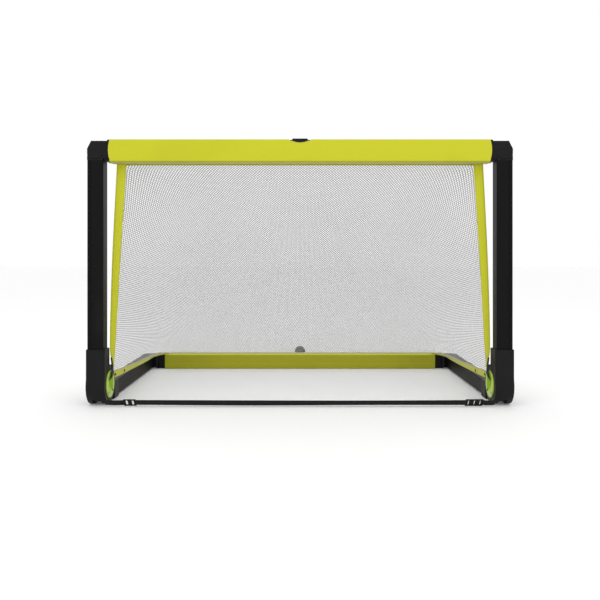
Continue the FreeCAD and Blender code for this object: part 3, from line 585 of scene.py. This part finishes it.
@dataclass
class Cover:
    """The fabric round a channel: a closed sleeve with bowed ends and a dish for the release button."""

    setting: Setting
    lie: Lie
    corner: float = 0.008
    shoulder: float = 0.0048
    bow: float = 0.0045
    crown: float = 0.0012
    facing_crown: float = 0.0002
    facing_wave: float = 0.4
    end_length: float = 0.03
    end_taper: float = 0.03
    dish_half: float = 0.031
    dish_depth: float = 0.0095
    wrinkle: float = 0.0004
    thickness: float = 0.0012
    columns: int = 150
    finest_column: float = 0.0006
    under_drop: float = 0.0044
    floor_gap: float = 0.0002
    # How far a face must turn to the open side to wear the darker flap cloth, which is painted shade.
    painted_shade_facing: float = 0.6
    dish_edge: float = 0.0012
    standing: bool = field(init=False)
    low: Vector = field(init=False)
    high: Vector = field(init=False)
    half: float = field(init=False)
    centre: float = field(init=False)
    top: float = field(init=False)
    foot: float = field(init=False)

    def __post_init__(self) -> None:
        """Reads the cover's box, and where it lies across the beam and out from its open side."""
        s = self.setting
        self.standing = self.lie is Lie.STANDING
        self.low, self.high = (s.sleeve_low, s.sleeve_high) if self.standing else (s.cover_low, s.cover_high)
        low, high = self.low, self.high
        near, far = (low.y, high.y) if self.standing else (low.z, high.z)
        self.half, self.centre = (far - near) / 2, (near + far) / 2
        self.top, self.foot = (high.z, low.z) if self.standing else (high.y, low.y)

    def build(self, cloth: Material, flap: Material) -> None:
        """Builds the cover, riding on its beam.

        Args:
            cloth: The fabric.
            flap: The thinner fabric of the closing flap, on the channel's open side, a darker copy of the cloth
                that paints the shade on the faces turned down or towards the mouth.
        """
        if self.standing:
            name, body, stands_for = "sleeve", "crossbar", ("crossbar_sleeve", "crossbar_flap")
            beam, down = "crossbar_channel", Vector((0, 0, -1))
        else:
            name, body, stands_for = "rear_sleeve", "rear_beam", ("rear_cover", "rear_flap")
            beam, down = "rear_channel", Vector((0, -1, 0))
        outline = self._outline()
        bm = bmesh.new()
        sections = [self._section(outline, x) for x in self._stations()]
        loft(bm, sections)
        self._open_dish(bm)
        bmesh.ops.remove_doubles(bm, verts=bm.verts, dist=1e-6)
        bmesh.ops.recalc_face_normals(bm, faces=bm.faces)
        heart = (self.low + self.high) / 2
        outward = sum((face.calc_center_median() - heart).dot(Vector((0, face.normal.y, face.normal.z)))
                      for face in bm.faces)
        if outward < 0:
            bmesh.ops.reverse_faces(bm, faces=bm.faces)
        for face in bm.faces:
            # Faces that turn to the open side, under the crossbar or towards the mouth on the rear beam, wear
            # the darker flap cloth: painted shade.
            face.material_index = 1 if face.normal.dot(down) > self.painted_shade_facing else 0
        made = piece(bm, name, cloth, body, stands_for)
        made.data.materials.append(flap)
        thicken(made, self.thickness, -1.0)

    def _outline(self) -> list[tuple[float, float]]:
        """The cross-section in across and out, from the middle of the open side round to it again."""
        half, top, foot = self.half, self.top, self.foot - self.under_drop
        r, q = self.corner, self.shoulder
        points = [(0.0, foot), (-half * 0.4, foot)]
        points += arc((-half + r, foot + r), r, 270, 180, 5)
        points += [(-half - self.crown, blend(foot + r, top - q, t)) for t in (0.25, 0.5, 0.75)]
        points += arc((-half + q, top - q), q, 180, 90, 5)
        points += [(0.0, top)]
        points += arc((half - q, top - q), q, 90, 0, 5)
        points += [(half + self.facing_crown, blend(foot + r, top - q, t)) for t in (0.75, 0.5, 0.25)]
        points += arc((half - r, foot + r), r, 0, -90, 5)
        points += [(half * 0.4, foot), (0.0, foot)]
        return points

    def _stations(self) -> list[float]:
        """Places along the beam, denser by the dish and the ends."""
        end = self.high.x
        places = [blend(-end, end, i / self.columns) for i in range(self.columns + 1)]
        places += [self.dish_half * k / 8 for k in range(-8, 9)]
        places += [side * (end - step) for side in (-1, 1) for step in (0.001, 0.003)]
        kept: list[float] = []
        for x in sorted(places):
            if not kept or x - kept[-1] > self.finest_column:
                kept.append(x)
        return kept

    def _dish(self, x: float) -> float:
        """How far out the fabric reaches at a place along the dish."""
        return self.top - self.dish_depth * (1 - (x / self.dish_half) ** 2)

    def _section(self, outline: Sequence[tuple[float, float]], x: float) -> list[Vector]:
        """One cross-section, bowed at the ends of the cover and pulled down at the dish.

        Args:
            outline: The cross-section in across and out.
            x: The place along the beam.

        Returns:
            The section's points in the row frame.
        """
        middle, reach = (self.top + self.foot) / 2, (self.top - self.foot) / 2
        limit = self._dish(x) if abs(x) < self.dish_half else self.top
        near_end = max(0.0, 1 - (self.high.x - abs(x)) / self.end_length)
        hem = 1 - self.end_taper * near_end ** 3
        points = []
        for across, out in outline:
            share = (out - middle) / reach
            px = x + math.copysign(self.bow * (1 - share * share) * near_end, x)
            wave = ripple(x, across, out) * self.wrinkle * (1 - near_end)
            if across > 0:
                wave *= self.facing_wave
            side = self.centre + (across + math.copysign(wave, across)) * hem
            lowered = min(out, limit)
            if self.standing:
                points.append(Vector((px, side, lowered)))
            else:
                points.append(Vector((px, lowered, max(side, self.floor_gap))))
        return points

    def _open_dish(self, bm: BMesh) -> None:
        """Takes away the fabric over the release button."""
        doomed = []
        for face in bm.faces:
            centre = face.calc_center_median()
            if abs(centre.x) > self.dish_half:
                continue
            out = centre.z if self.standing else centre.y
            if out > self._dish(centre.x) - self.dish_edge and face.calc_area() > 0:
                doomed.append(face)
        bmesh.ops.delete(bm, geom=doomed, context="FACES")


class Corners(NamedTuple):
    """The corners of the net: by the crossbar, by the rear beam and at the front, each left first."""

    top: list[Vector]
    rear: list[Vector]
    front: list[Vector]


@dataclass
class Net:
    """The net: a sloping back and two side triangles, sewn together and pulled smooth between the hems."""

    setting: Setting
    cell: float = 0.01266
    pulls: int = 1600
    crease_depth: float = 0.0034
    belly: float = 0.07
    belly_reach: float = 0.17
    crease_reach: float = 0.24
    crease_clear: float = 0.05
    sag: float = 0.0015
    sliver: float = 0.4
    hem_width: float = 0.0062
    hem_steps: int = 60
    top: list[Vector] = field(init=False)
    rear: list[Vector] = field(init=False)
    front: list[Vector] = field(init=False)

    def __post_init__(self) -> None:
        """Places the corners: by the crossbar, by the rear beam and at the front of each side bar."""
        s = self.setting
        top_y = (s.sleeve_low.y + s.sleeve_high.y) / 2 + 0.0215
        top_z = s.sleeve_low.z - 0.0055
        rear_y, rear_z = s.cover_low.y - 0.003, s.cover_high.z + 0.001
        front_y, front_z = s.disc.y + 0.032, s.disc.z + 0.03
        self.top = [Vector((side * 0.5065, top_y, top_z)) for side in (-1, 1)]
        self.rear = [Vector((side * 0.516, rear_y, rear_z)) for side in (-1, 1)]
        self.front = [Vector((side * (s.housing_in - 0.002), front_y, front_z)) for side in (-1, 1)]

    def build(self, yarn: Material, hem: Material) -> None:
        """Builds the three panels, which span from the crossbar to the rear beam, and the top hem.

        Args:
            yarn: The netting's finish.
            hem: The hem's fabric, the darker flap cloth, so the hem paints a strip of shade under the sleeve.
        """
        self._top_hem(hem)
        flat = self._unfold()
        bm = self._cut_cloth(flat)
        self._raise(bm, flat)
        self._pull_smooth(bm, self.pulls)
        self._draw_in(bm)
        self._pull_smooth(bm, self.pulls // 16)
        self._crease(bm)
        depth = max(abs(p.x) for p in flat.front) - flat.top[1].x
        triangle = abs((flat.rear[1] - flat.top[1]).cross(flat.front[1] - flat.top[1]).z) / 2
        panels = ((-1, "net_side_left", depth, triangle), (0, "net_back", 2 * flat.rear[1].x, None),
                  (1, "net_side_right", depth, triangle))
        top, rear = (self.top[0] + self.top[1]) / 2, (self.rear[0] + self.rear[1]) / 2
        for which, name, width, area in panels:
            part = bm.copy()
            layer = part.faces.layers.int["panel"]
            others = [face for face in part.faces if face[layer] != which]
            bmesh.ops.delete(part, geom=others, context="FACES")
            made = piece(part, f"{name}_cloth", yarn, "", (name,))
            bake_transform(made)
        bm.free()

    def _top_hem(self, hem: Material) -> None:
        """The folded hem that joins the net to the sleeve, in the darker flap cloth: a strip of painted shade
        along the sleeve's underside.
        """
        left, right = self.top
        lift = Vector((0, 0.0006, 0.0012))
        path = [left.lerp(right, i / self.hem_steps) + lift for i in range(self.hem_steps + 1)]
        across = [Vector((0, 0, -1))] * len(path)
        made = Ribbon(0.0022).build("net_top_hem", path, [self.hem_width] * len(path), across, hem, "crossbar",
                                    SLOT_LIME)

    def _unfold(self) -> Corners:
        """Where the corners lie when the three panels are laid flat side by side."""
        slope = (self.rear[1] - self.top[1]).length
        drop = math.sqrt(slope ** 2 - (self.rear[1].x - self.top[1].x) ** 2)
        top = [Vector((p.x, 0.0, 0.0)) for p in self.top]
        rear = [Vector((p.x, -drop, 0.0)) for p in self.rear]
        front = []
        for i, side in enumerate((-1, 1)):
            from_top = (self.front[i] - self.top[i]).length
            from_rear = (self.front[i] - self.rear[i]).length
            line = rear[i] - top[i]
            reach = (from_top ** 2 - from_rear ** 2 + line.length ** 2) / (2 * line.length)
            out = math.sqrt(from_top ** 2 - reach ** 2)
            along = line.normalized()
            normal = Vector((-along.y, along.x, 0.0))
            if normal.x * side < 0:
                normal.negate()
            front.append(top[i] + along * reach + normal * out)
        return Corners(top, rear, front)

    def _cut_cloth(self, flat: Corners) -> BMesh:
        """Cuts the flat shape out of an even grid and keeps its flat places as its map."""
        top, rear, front = flat
        ring = [front[0], rear[0], rear[1], front[1], top[1], top[0]]
        reach = max(abs(p.x) for p in ring)
        drop = -min(p.y for p in ring)
        across, down = int(2 * reach / self.cell) + 2, int(drop / self.cell) + 2
        bm = bmesh.new()
        bmesh.ops.create_grid(bm, x_segments=across, y_segments=down, size=0.5)
        bmesh.ops.scale(bm, verts=bm.verts, vec=(across * self.cell, down * self.cell, 1))
        bmesh.ops.translate(bm, verts=bm.verts, vec=((across % 2) * self.cell / 2, -drop / 2, 0))
        for vert in bm.verts:
            vert.co.x *= blend(1.0, rear[1].x / top[1].x, vert.co.y / rear[1].y)
        for start, end in zip(ring, ring[1:] + ring[:1]):
            edge = end - start
            outward = Vector((edge.y, -edge.x, 0.0))
            geometry = bm.verts[:] + bm.edges[:] + bm.faces[:]
            bmesh.ops.bisect_plane(bm, geom=geometry, plane_co=start, plane_no=outward, clear_outer=True)
        self._weld_slivers(bm)
        layer = bm.loops.layers.uv.new(UV_NAME)
        for face in bm.faces:
            for loop in face.loops:
                loop[layer].uv = (loop.vert.co.x, loop.vert.co.y)
        return bm

    def _weld_slivers(self, bm: BMesh) -> None:
        """Welds the points that a cut left very close to an edge onto that edge."""
        shortest = self.sliver * self.cell
        welds = {}
        for vert in bm.verts:
            if vert.is_boundary:
                continue
            near = [e for e in vert.link_edges if e.other_vert(vert).is_boundary and e.calc_length() < shortest]
            if near:
                welds[vert] = min(near, key=lambda e: e.calc_length()).other_vert(vert)
        bmesh.ops.weld_verts(bm, targetmap=welds)

    def _raise(self, bm: BMesh, flat: Corners) -> None:
        """Folds the flat cloth up into its three planes and marks each face -1, 0 or 1: left, back or right."""
        top, rear, front = flat
        layer = bm.faces.layers.int.new("panel")
        for face in bm.faces:
            middle = face.calc_center_median()
            seam = blend(top[1].x, rear[1].x, middle.y / rear[1].y)
            face[layer] = 0 if abs(middle.x) < seam else int(math.copysign(1, middle.x))
        for vert in bm.verts:
            i = 0 if vert.co.x < 0 else 1
            down = vert.co.y / rear[i].y
            seam = blend(top[i].x, rear[i].x, down)
            if abs(vert.co.x) <= abs(seam):
                share = vert.co.x / seam
                edge = self.top[i].lerp(self.rear[i], down)
                middle = Vector((0.0, edge.y, edge.z))
                vert.co = middle.lerp(edge, share)
            else:
                a, b = rear[i] - top[i], front[i] - top[i]
                p = vert.co - top[i]
                cross = a.x * b.y - a.y * b.x
                to_rear = (p.x * b.y - p.y * b.x) / cross
                to_front = (a.x * p.y - a.y * p.x) / cross
                vert.co = (self.top[i] + (self.rear[i] - self.top[i]) * to_rear
                           + (self.front[i] - self.top[i]) * to_front)

    def _draw_in(self, bm: BMesh) -> None:
        """Draws the seams between back and sides inwards, most at half height."""
        for vert in bm.verts:
            if vert.is_boundary:
                continue
            i = 0 if vert.co.x < 0 else 1
            down = (self.top[i].z - vert.co.z) / (self.top[i].z - self.rear[i].z)
            down = min(max(down, 0.0), 1.0)
            seam = self.top[i].lerp(self.rear[i], down)
            away = (Vector((vert.co.x - seam.x, vert.co.y - seam.y))).length
            pull = self.belly * math.sin(math.pi * down) * math.exp(-(away / self.belly_reach) ** 2)
            vert.co += Vector((-math.copysign(pull, vert.co.x), -pull, 0)) * math.sqrt(0.5)

    def _pull_smooth(self, bm: BMesh, pulls: int) -> None:
        """Lets the cloth pull itself smooth between its edges, in many small pulls."""
        inner = [v for v in bm.verts if not v.is_boundary]
        for _ in range(pulls):
            bmesh.ops.smooth_vert(bm, verts=inner, factor=0.5, use_axis_x=True, use_axis_y=True,
                                  use_axis_z=True)

    def _crease(self, bm: BMesh) -> None:
        """Raises soft creases that fan out from the pulled corners, and a little sag."""
        bm.normal_update()
        moves = []
        for vert in bm.verts:
            if vert.is_boundary:
                continue
            lift = ripple(vert.co.x * 0.25, vert.co.y * 0.2, vert.co.z * 0.25) * self.sag
            for corner in self.rear + self.top:
                away = vert.co - corner
                turn = math.atan2(away.z, abs(away.x) * 0.8 + abs(away.y) * 0.6 + 1e-6)
                fade = math.exp(-away.length / self.crease_reach) * min(1.0, away.length / self.crease_clear)
                lift += math.sin(turn * 17.0 + corner.x * 5) * self.crease_depth * fade
            moves.append((vert, vert.normal * lift))
        for vert, move in moves:
            vert.co += move


@dataclass
class Ribbon:
    """A band of fabric or webbing along a path."""

    thickness: float = 0.0014
    crown: float = 0.0003

    def sections(self, path: Sequence[Vector], widths: Sequence[float],
                 across: Sequence[Vector]) -> list[list[Vector]]:
        """The cross-sections along the path.

        Args:
            path: Points down the band's middle.
            widths: Its width at each point.
            across: The direction of its width at each point.

        Returns:
            Sections of five points.
        """
        made = []
        for i, point in enumerate(path):
            ahead = path[min(i + 1, len(path) - 1)] - path[max(i - 1, 0)]
            side = across[i].normalized()
            normal = ahead.normalized().cross(side)
            row = []
            for t in (-0.5, -0.25, 0.0, 0.25, 0.5):
                row.append(point + side * widths[i] * t + normal * self.crown * (1 - 4 * t * t))
            made.append(row)
        return made

    def build(self, name: str, path: Sequence[Vector], widths: Sequence[float], across: Sequence[Vector],
              material: Material, body: str, slot: str, stands_for: Sequence[str] = ()) -> Object:
        """Builds the band as a finished object.

        Args:
            name: The object's name.
            path: Points down the band's middle.
            widths: Its width at each point.
            across: The direction of its width at each point.
            material: Its finish.
            body: The body it moves with.
            slot: The record's material slot; not used.
            stands_for: The nodes that it replaces.

        Returns:
            The band.
        """
        bm = bmesh.new()
        middle = sum(widths) / len(widths) / 2
        loft(bm, self.sections(path, widths, across), -middle)
        bmesh.ops.recalc_face_normals(bm, faces=bm.faces)
        made = piece(bm, name, material, body, stands_for)
        thicken(made, self.thickness)
        return made


def smooth_path(points: Sequence[Vector], steps: int) -> list[Vector]:
    """Points along a smooth curve through a few points.

    Args:
        points: The points that it passes.
        steps: How many steps each stretch takes.

    Returns:
        The curve's points.
    """
    made = []
    for i in range(len(points) - 1):
        before = points[max(i - 1, 0)]
        after = points[min(i + 2, len(points) - 1)]
        a, b = points[i], points[i + 1]
        for k in range(steps):
            t = k / steps
            m0, m1 = (b - before) / 2, (after - a) / 2
            made.append(a * (2 * t ** 3 - 3 * t ** 2 + 1) + m0 * (t ** 3 - 2 * t ** 2 + t)
                        + b * (3 * t ** 2 - 2 * t ** 3) + m1 * (t ** 3 - t ** 2))
    made.append(points[-1].copy())
    return made


@dataclass
class Bands:
    """The lime bands that edge the net, with their rivets, and the webbing tabs by the discs."""

    setting: Setting
    finishes: Finishes
    side: Side
    top_x: float = 0.508
    top_width: float = 0.027
    foot_width: float = 0.012
    rivet_radius: float = 0.0037
    washer_radius: float = 0.0052
    washer_top: float = 0.0048
    washer_depth: float = 0.0008

    def build(self) -> None:
        """Builds the bands, rivets and tab of one side."""
        self._front_band()
        self._bar_band()
        self._rear_hem()
        self._rivets()
        self._tab()

    def _mirror(self, x: float, y: float, z: float) -> Vector:
        """A point on this side."""
        return Vector((self.side.value * x, y, z))

    def _tuck(self, made: Object) -> None:
        """Gives a piece its own copy of its mesh."""
        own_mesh(made)

    def _strip(self, name: str, key: Sequence[Vector], steps: int, thickness: float,
               width: Callable[[float], float], across: Callable[[float], Vector], body: str,
               stands_for: Sequence[str] = (), webbing: bool = False) -> Object:
        """Builds a strip of this side along a smooth path.

        Args:
            name: The object's name, without its side.
            key: The few points that the strip's middle passes.
            steps: How many steps the path takes between them.
            thickness: The strip's thickness.
            width: Its width, a share of the way along.
            across: The direction of its width, a share of the way along.
            body: The body it moves with.
            stands_for: The nodes that it replaces.
            webbing: Whether it is black webbing and not lime fabric.

        Returns:
            The strip.
        """
        path = smooth_path(key, steps)
        shares = [i / (len(path) - 1) for i in range(len(path))]
        look, slot = (self.finishes.webbing, "webbing") if webbing else (self.finishes.band, SLOT_LIME)
        return Ribbon(thickness).build(f"{name}_{self.side.label}", path, [width(t) for t in shares],
                                       [across(t) for t in shares], look, body, slot, stands_for)

    def _front_band(self) -> None:
        """The band from the crossbar's end down to the lower corner."""
        s = self.setting
        y = (s.sleeve_low.y + s.sleeve_high.y) / 2
        foot_x = s.housing_in - 0.0028
        key = [self._mirror(self.top_x, y + 0.012, s.sleeve_low.z + 0.001),
               self._mirror(self.top_x + 0.0185, y + 0.026, blend(s.sleeve_low.z, s.disc.z, 0.40)),
               self._mirror(foot_x - 0.004, y + 0.038, blend(s.sleeve_low.z, s.disc.z, 0.79)),
               self._mirror(foot_x - 0.001, s.disc.y + 0.020, s.disc.z + 0.070),
               self._mirror(foot_x, s.disc.y + 0.034, s.disc.z + 0.042)]
        made = self._strip("front_band", key, 12, 0.0014, lambda t: blend(self.top_width, self.foot_width, t),
                           self._band_turn, "crossbar", (f"side_band_{self.side.label}",))
        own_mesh(made)

    def _band_turn(self, t: float) -> Vector:
        """The front band's width direction, which turns from across the mouth to along the side bar."""
        turn = math.radians(blend(8, 84, min(1.0, 1.15 * t) ** 1.25))
        return self._mirror(math.cos(turn), -math.sin(turn), 0)

    def _bar_band(self) -> None:
        """The band along the inside of the side bar."""
        s = self.setting
        x = s.tube_in - 0.0022
        y0, y1 = s.disc.y + 0.040, s.cover_low.y - 0.048
        key = [self._mirror(x, blend(y0, y1, t), z) for t, z in
               ((0.0, 0.075), (0.15, 0.070), (0.32, 0.066), (0.6, 0.059), (0.85, 0.054), (1.0, 0.052))]
        lean, width, label = math.radians(9), 0.025, self.side.label
        made = self._strip("bar_band_cloth", key, 10, 0.0016, lambda t: blend(width, 0.014, t),
                           lambda t: self._mirror(math.sin(lean), 0, -math.cos(lean)), f"{label}_side_bar",
                           (f"bar_band_{label}",))
        self._tuck(made)

    def _rear_hem(self) -> None:
        """The short hem from the bar band over the corner to the rear cover."""
        s = self.setting
        x = s.tube_in - 0.0022
        end = s.cover_high.x - 0.012
        key = [self._mirror(x, s.cover_low.y - 0.052, 0.052),
               self._mirror(x - 0.008, s.cover_low.y - 0.022, 0.054),
               self._mirror(blend(x, end, 0.6), s.cover_low.y - 0.006, 0.0575),
               self._mirror(end, s.cover_low.y + 0.001, 0.0575)]
        width = 0.013
        made = self._strip("rear_hem", key, 8, 0.0014, lambda t: blend(width, 0.006, t),
                           lambda t: Vector((0, 0, -1)), "rear_beam")
        self._tuck(made)

    def _rivets(self) -> None:
        """Two domed rivets through the band, each with a washer."""
        s = self.setting
        bm = bmesh.new()
        for step, z in ((0.070, 0.0725), (0.180, 0.0665)):
            place = self._mirror(s.tube_in - 0.0034, s.disc.y + step, z)
            dome = bmesh.ops.create_uvsphere(bm, u_segments=20, v_segments=10,
                                             radius=self.rivet_radius)["verts"]
            bmesh.ops.scale(bm, verts=dome, vec=(0.45, 1, 1))
            bmesh.ops.translate(bm, verts=dome, vec=place)
            washer = bmesh.ops.create_cone(bm, cap_ends=True, segments=28, radius1=self.washer_radius,
                                           radius2=self.washer_top, depth=self.washer_depth)["verts"]
            bmesh.ops.rotate(bm, verts=washer, cent=(0, 0, 0), matrix=Matrix.Rotation(math.pi / 2, 3, "Y"))
            bmesh.ops.translate(bm, verts=washer, vec=place + self._mirror(self.washer_depth, 0, 0))
        label = self.side.label
        made = piece(bm, f"rivets_{label}", self.finishes.black_steel, f"{label}_side_bar",
                     (f"band_rivets_{label}",))
        self._tuck(made)

    def _tab(self) -> None:
        """The webbing tab that comes out of the finger slot and lies up the post."""
        s = self.setting
        x = s.housing_in - 0.0052
        key = [self._mirror(x + 0.006, s.disc.y - 0.002, s.disc.z + 0.012),
               self._mirror(x - 0.001, s.disc.y - 0.002, s.disc.z + 0.022),
               self._mirror(x - 0.003, s.disc.y - 0.001, s.disc.z + 0.048),
               self._mirror(x + 0.0005, s.disc.y, s.disc.z + 0.076)]
        width, label = 0.019, self.side.label
        made = self._strip("tab", key, 8, 0.0022, lambda t: blend(width, 0.007, max(0.0, t - 0.25)),
                           lambda t: Vector((0, 1, 0)), f"{label}_post", (f"pull_tab_{label}",), webbing=True)


@dataclass
class GroundStrap:
    """The webbing along the ground between the lower corners, with its hook and buckle."""

    setting: Setting
    finishes: Finishes
    width: float = 0.0195
    tilt: float = 40.0
    overlap: float = 0.003
    waver: float = 0.0008
    settle: float = 0.0012

    def build(self) -> None:
        """Builds the strap's three stretches."""
        hook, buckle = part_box("strap_hook"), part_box("strap_buckle")
        y = (hook[0].y + hook[1].y) / 2
        z = (hook[0].z + hook[1].z) / 2
        edge = self.setting.housing_in + 0.001
        long_part = self._stretch("strap_long", hook[1].x - self.overlap, buckle[0].x + self.overlap, y, z,
                                  "right_post", ("ground_strap",))
        self._gather(long_part)
        self._gather(frame["nodes"]["strap_hook"])
        self._stretch("strap_end", buckle[1].x - self.overlap, edge, y, z, "right_post", ("strap_tail",))
        self._stretch("strap_left", -edge, hook[0].x + self.overlap, y, z, "left_post", ("strap_loop",))

    def _stretch(self, name: str, x0: float, x1: float, y: float, z: float, body: str,
                 stands_for: Sequence[str]) -> Object:
        """One stretch of webbing, with a slight waver.

        Args:
            name: The object's name.
            x0: Where it starts.
            x1: Where it ends.
            y: Its middle, front to back.
            z: Its middle height.
            body: The body it moves with.
            stands_for: The nodes that it replaces.

        Returns:
            The webbing.
        """
        steps = max(4, int((x1 - x0) / 0.02))
        path, across = [], []
        for i in range(steps + 1):
            x = blend(x0, x1, i / steps)
            slack = math.sin(math.pi * i / steps)
            path.append(Vector((x, y + self.waver * math.sin(9 * x), z - self.settle * slack)))
            turn = math.radians(self.tilt + 5 * math.sin(6 * x) * slack)
            across.append(Vector((0, -math.sin(turn), math.cos(turn))))
        widths = [self.width] * (steps + 1)
        made = Ribbon(0.0018).build(name, path, widths, across, self.finishes.webbing, body, "webbing",
                                    stands_for)
        return made

    def _gather(self, obj: Object) -> None:
        """Gives a piece of the strap its own copy of its mesh."""
        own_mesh(obj)


@dataclass
class Frame:
    """The frame's own pieces, which only need finishes, and the springs of their buttons."""

    finishes: Finishes
    press: float = 0.0025

    def dress(self) -> None:
        """Gives every node of the frame its material."""
        f = self.finishes
        slots = {part["node"]: part["material_slot"] for part in frame["record"]["subparts"]}
        by_slot = {"black_plastic": f.black, "green_plastic": f.green, "grey_plastic": f.grey,
                   "steel": f.steel, "black_steel": f.black_steel, SLOT_LIME: f.sleeve,
                   "net_mesh": f.net, "webbing": f.webbing, "black_tube": f.tube_upright}
        for name, node in frame["nodes"].items():
            material = by_slot[slots[name]]
            if name.startswith("side_tube"):
                material = f.tube_flat
            elif name.endswith("_channel"):
                material = f.tube_cross
            node.data.materials.clear()
            node.data.materials.append(material)
            LOG.info("%s wears %s", name, material.name)
        self._spring("crossbar_button_spring")
        self._spring("rear_button_spring")

    def _spring(self, name: str) -> None:
        """Gives a spring its own copy of its mesh.

        Args:
            name: The spring's node.
        """
        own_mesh(frame["nodes"][name])


@dataclass
class Studio:
    """A pale floor, soft light and the camera."""

    setting: Setting
    distance: float = 2.0
    height: float = 0.418
    lens: float = 42.9
    shift: float = -0.0705

    def build(self) -> None:
        """Builds the studio."""
        self._floor()
        self._sky()
        self._lamp("key_light", (-1.6, -2.6, 2.6), 2.4, 12.0)
        self._lamp("fill_light", (2.2, -2.2, 1.9), 2.4, 7.0)
        self._lamp("top_light", (0.0, 0.6, 3.0), 2.2, 6.0)
        self._camera()

    def _floor(self) -> None:
        """A wide pale floor."""
        bm = bmesh.new()
        bmesh.ops.create_grid(bm, x_segments=1, y_segments=1, size=30.0)
        mesh = bpy.data.meshes.new("floor")
        bm.to_mesh(mesh)
        bm.free()
        r = Recipe("floor_paper")
        paper = {"Base Color": rgb(0.9, 0.9, 0.9), "Roughness": 0.9, "Emission Color": rgb(1, 1, 1),
                 "Emission Strength": 0.07}
        mesh.materials.append(r.finish(paper, {}))
        floor = bpy.data.objects.new("floor", mesh)
        bpy.context.scene.collection.objects.link(floor)

    def _sky(self) -> None:
        """An even white surround."""
        world = bpy.data.worlds.new("studio")
        world.use_nodes = True
        back = world.node_tree.nodes["Background"]
        back.inputs["Color"].default_value = (1, 1, 1, 1)
        back.inputs["Strength"].default_value = 1.0
        bpy.context.scene.world = world

    def _lamp(self, name: str, place: Sequence[float], size: float, power: float) -> None:
        """A large soft lamp that points at the goal.

        Args:
            name: The lamp's name.
            place: Where it hangs.
            size: Its width.
            power: Its power in watts.
        """
        light = bpy.data.lights.new(name, "AREA")
        light.size = size
        light.energy = power
        lamp = bpy.data.objects.new(name, light)
        lamp.location = place
        aim = Vector((0, 0, 0.3)) - Vector(place)
        lamp.rotation_euler = aim.to_track_quat("-Z", "Y").to_euler()
        bpy.context.scene.collection.objects.link(lamp)

    def _camera(self) -> None:
        """The camera, level and straight in front of the mouth."""
        data = bpy.data.cameras.new("camera")
        data.lens = self.lens
        data.sensor_width = 36.0
        data.shift_y = self.shift
        camera = bpy.data.objects.new("camera", data)
        camera.location = (0, self.setting.sleeve_low.y - self.distance, self.height)
        camera.rotation_euler = (math.pi / 2, 0, 0)
        bpy.context.scene.collection.objects.link(camera)
        bpy.context.scene.camera = camera


def main() -> None:
    """Builds the goal and the studio, and reports each piece."""
    logging.basicConfig(level=logging.INFO, format="%(message)s")
    setting = Setting()
    finishes = Finishes()
    Studio(setting).build()
    Frame(finishes).dress()
    # The flap finish is the darker copy of the fabric that paints shade on the covers and on the net's top hem.
    Cover(setting, Lie.STANDING).build(finishes.sleeve, finishes.flap)
    Cover(setting, Lie.FLAT).build(finishes.sleeve, finishes.flap)
    Net(setting).build(finishes.net, finishes.flap)
    for side in Side:
        Bands(setting, finishes, side).build()
    GroundStrap(setting, finishes).build()
    bpy.context.scene.view_settings.view_transform = "Standard"


if __name__ == "__main__":
    main()
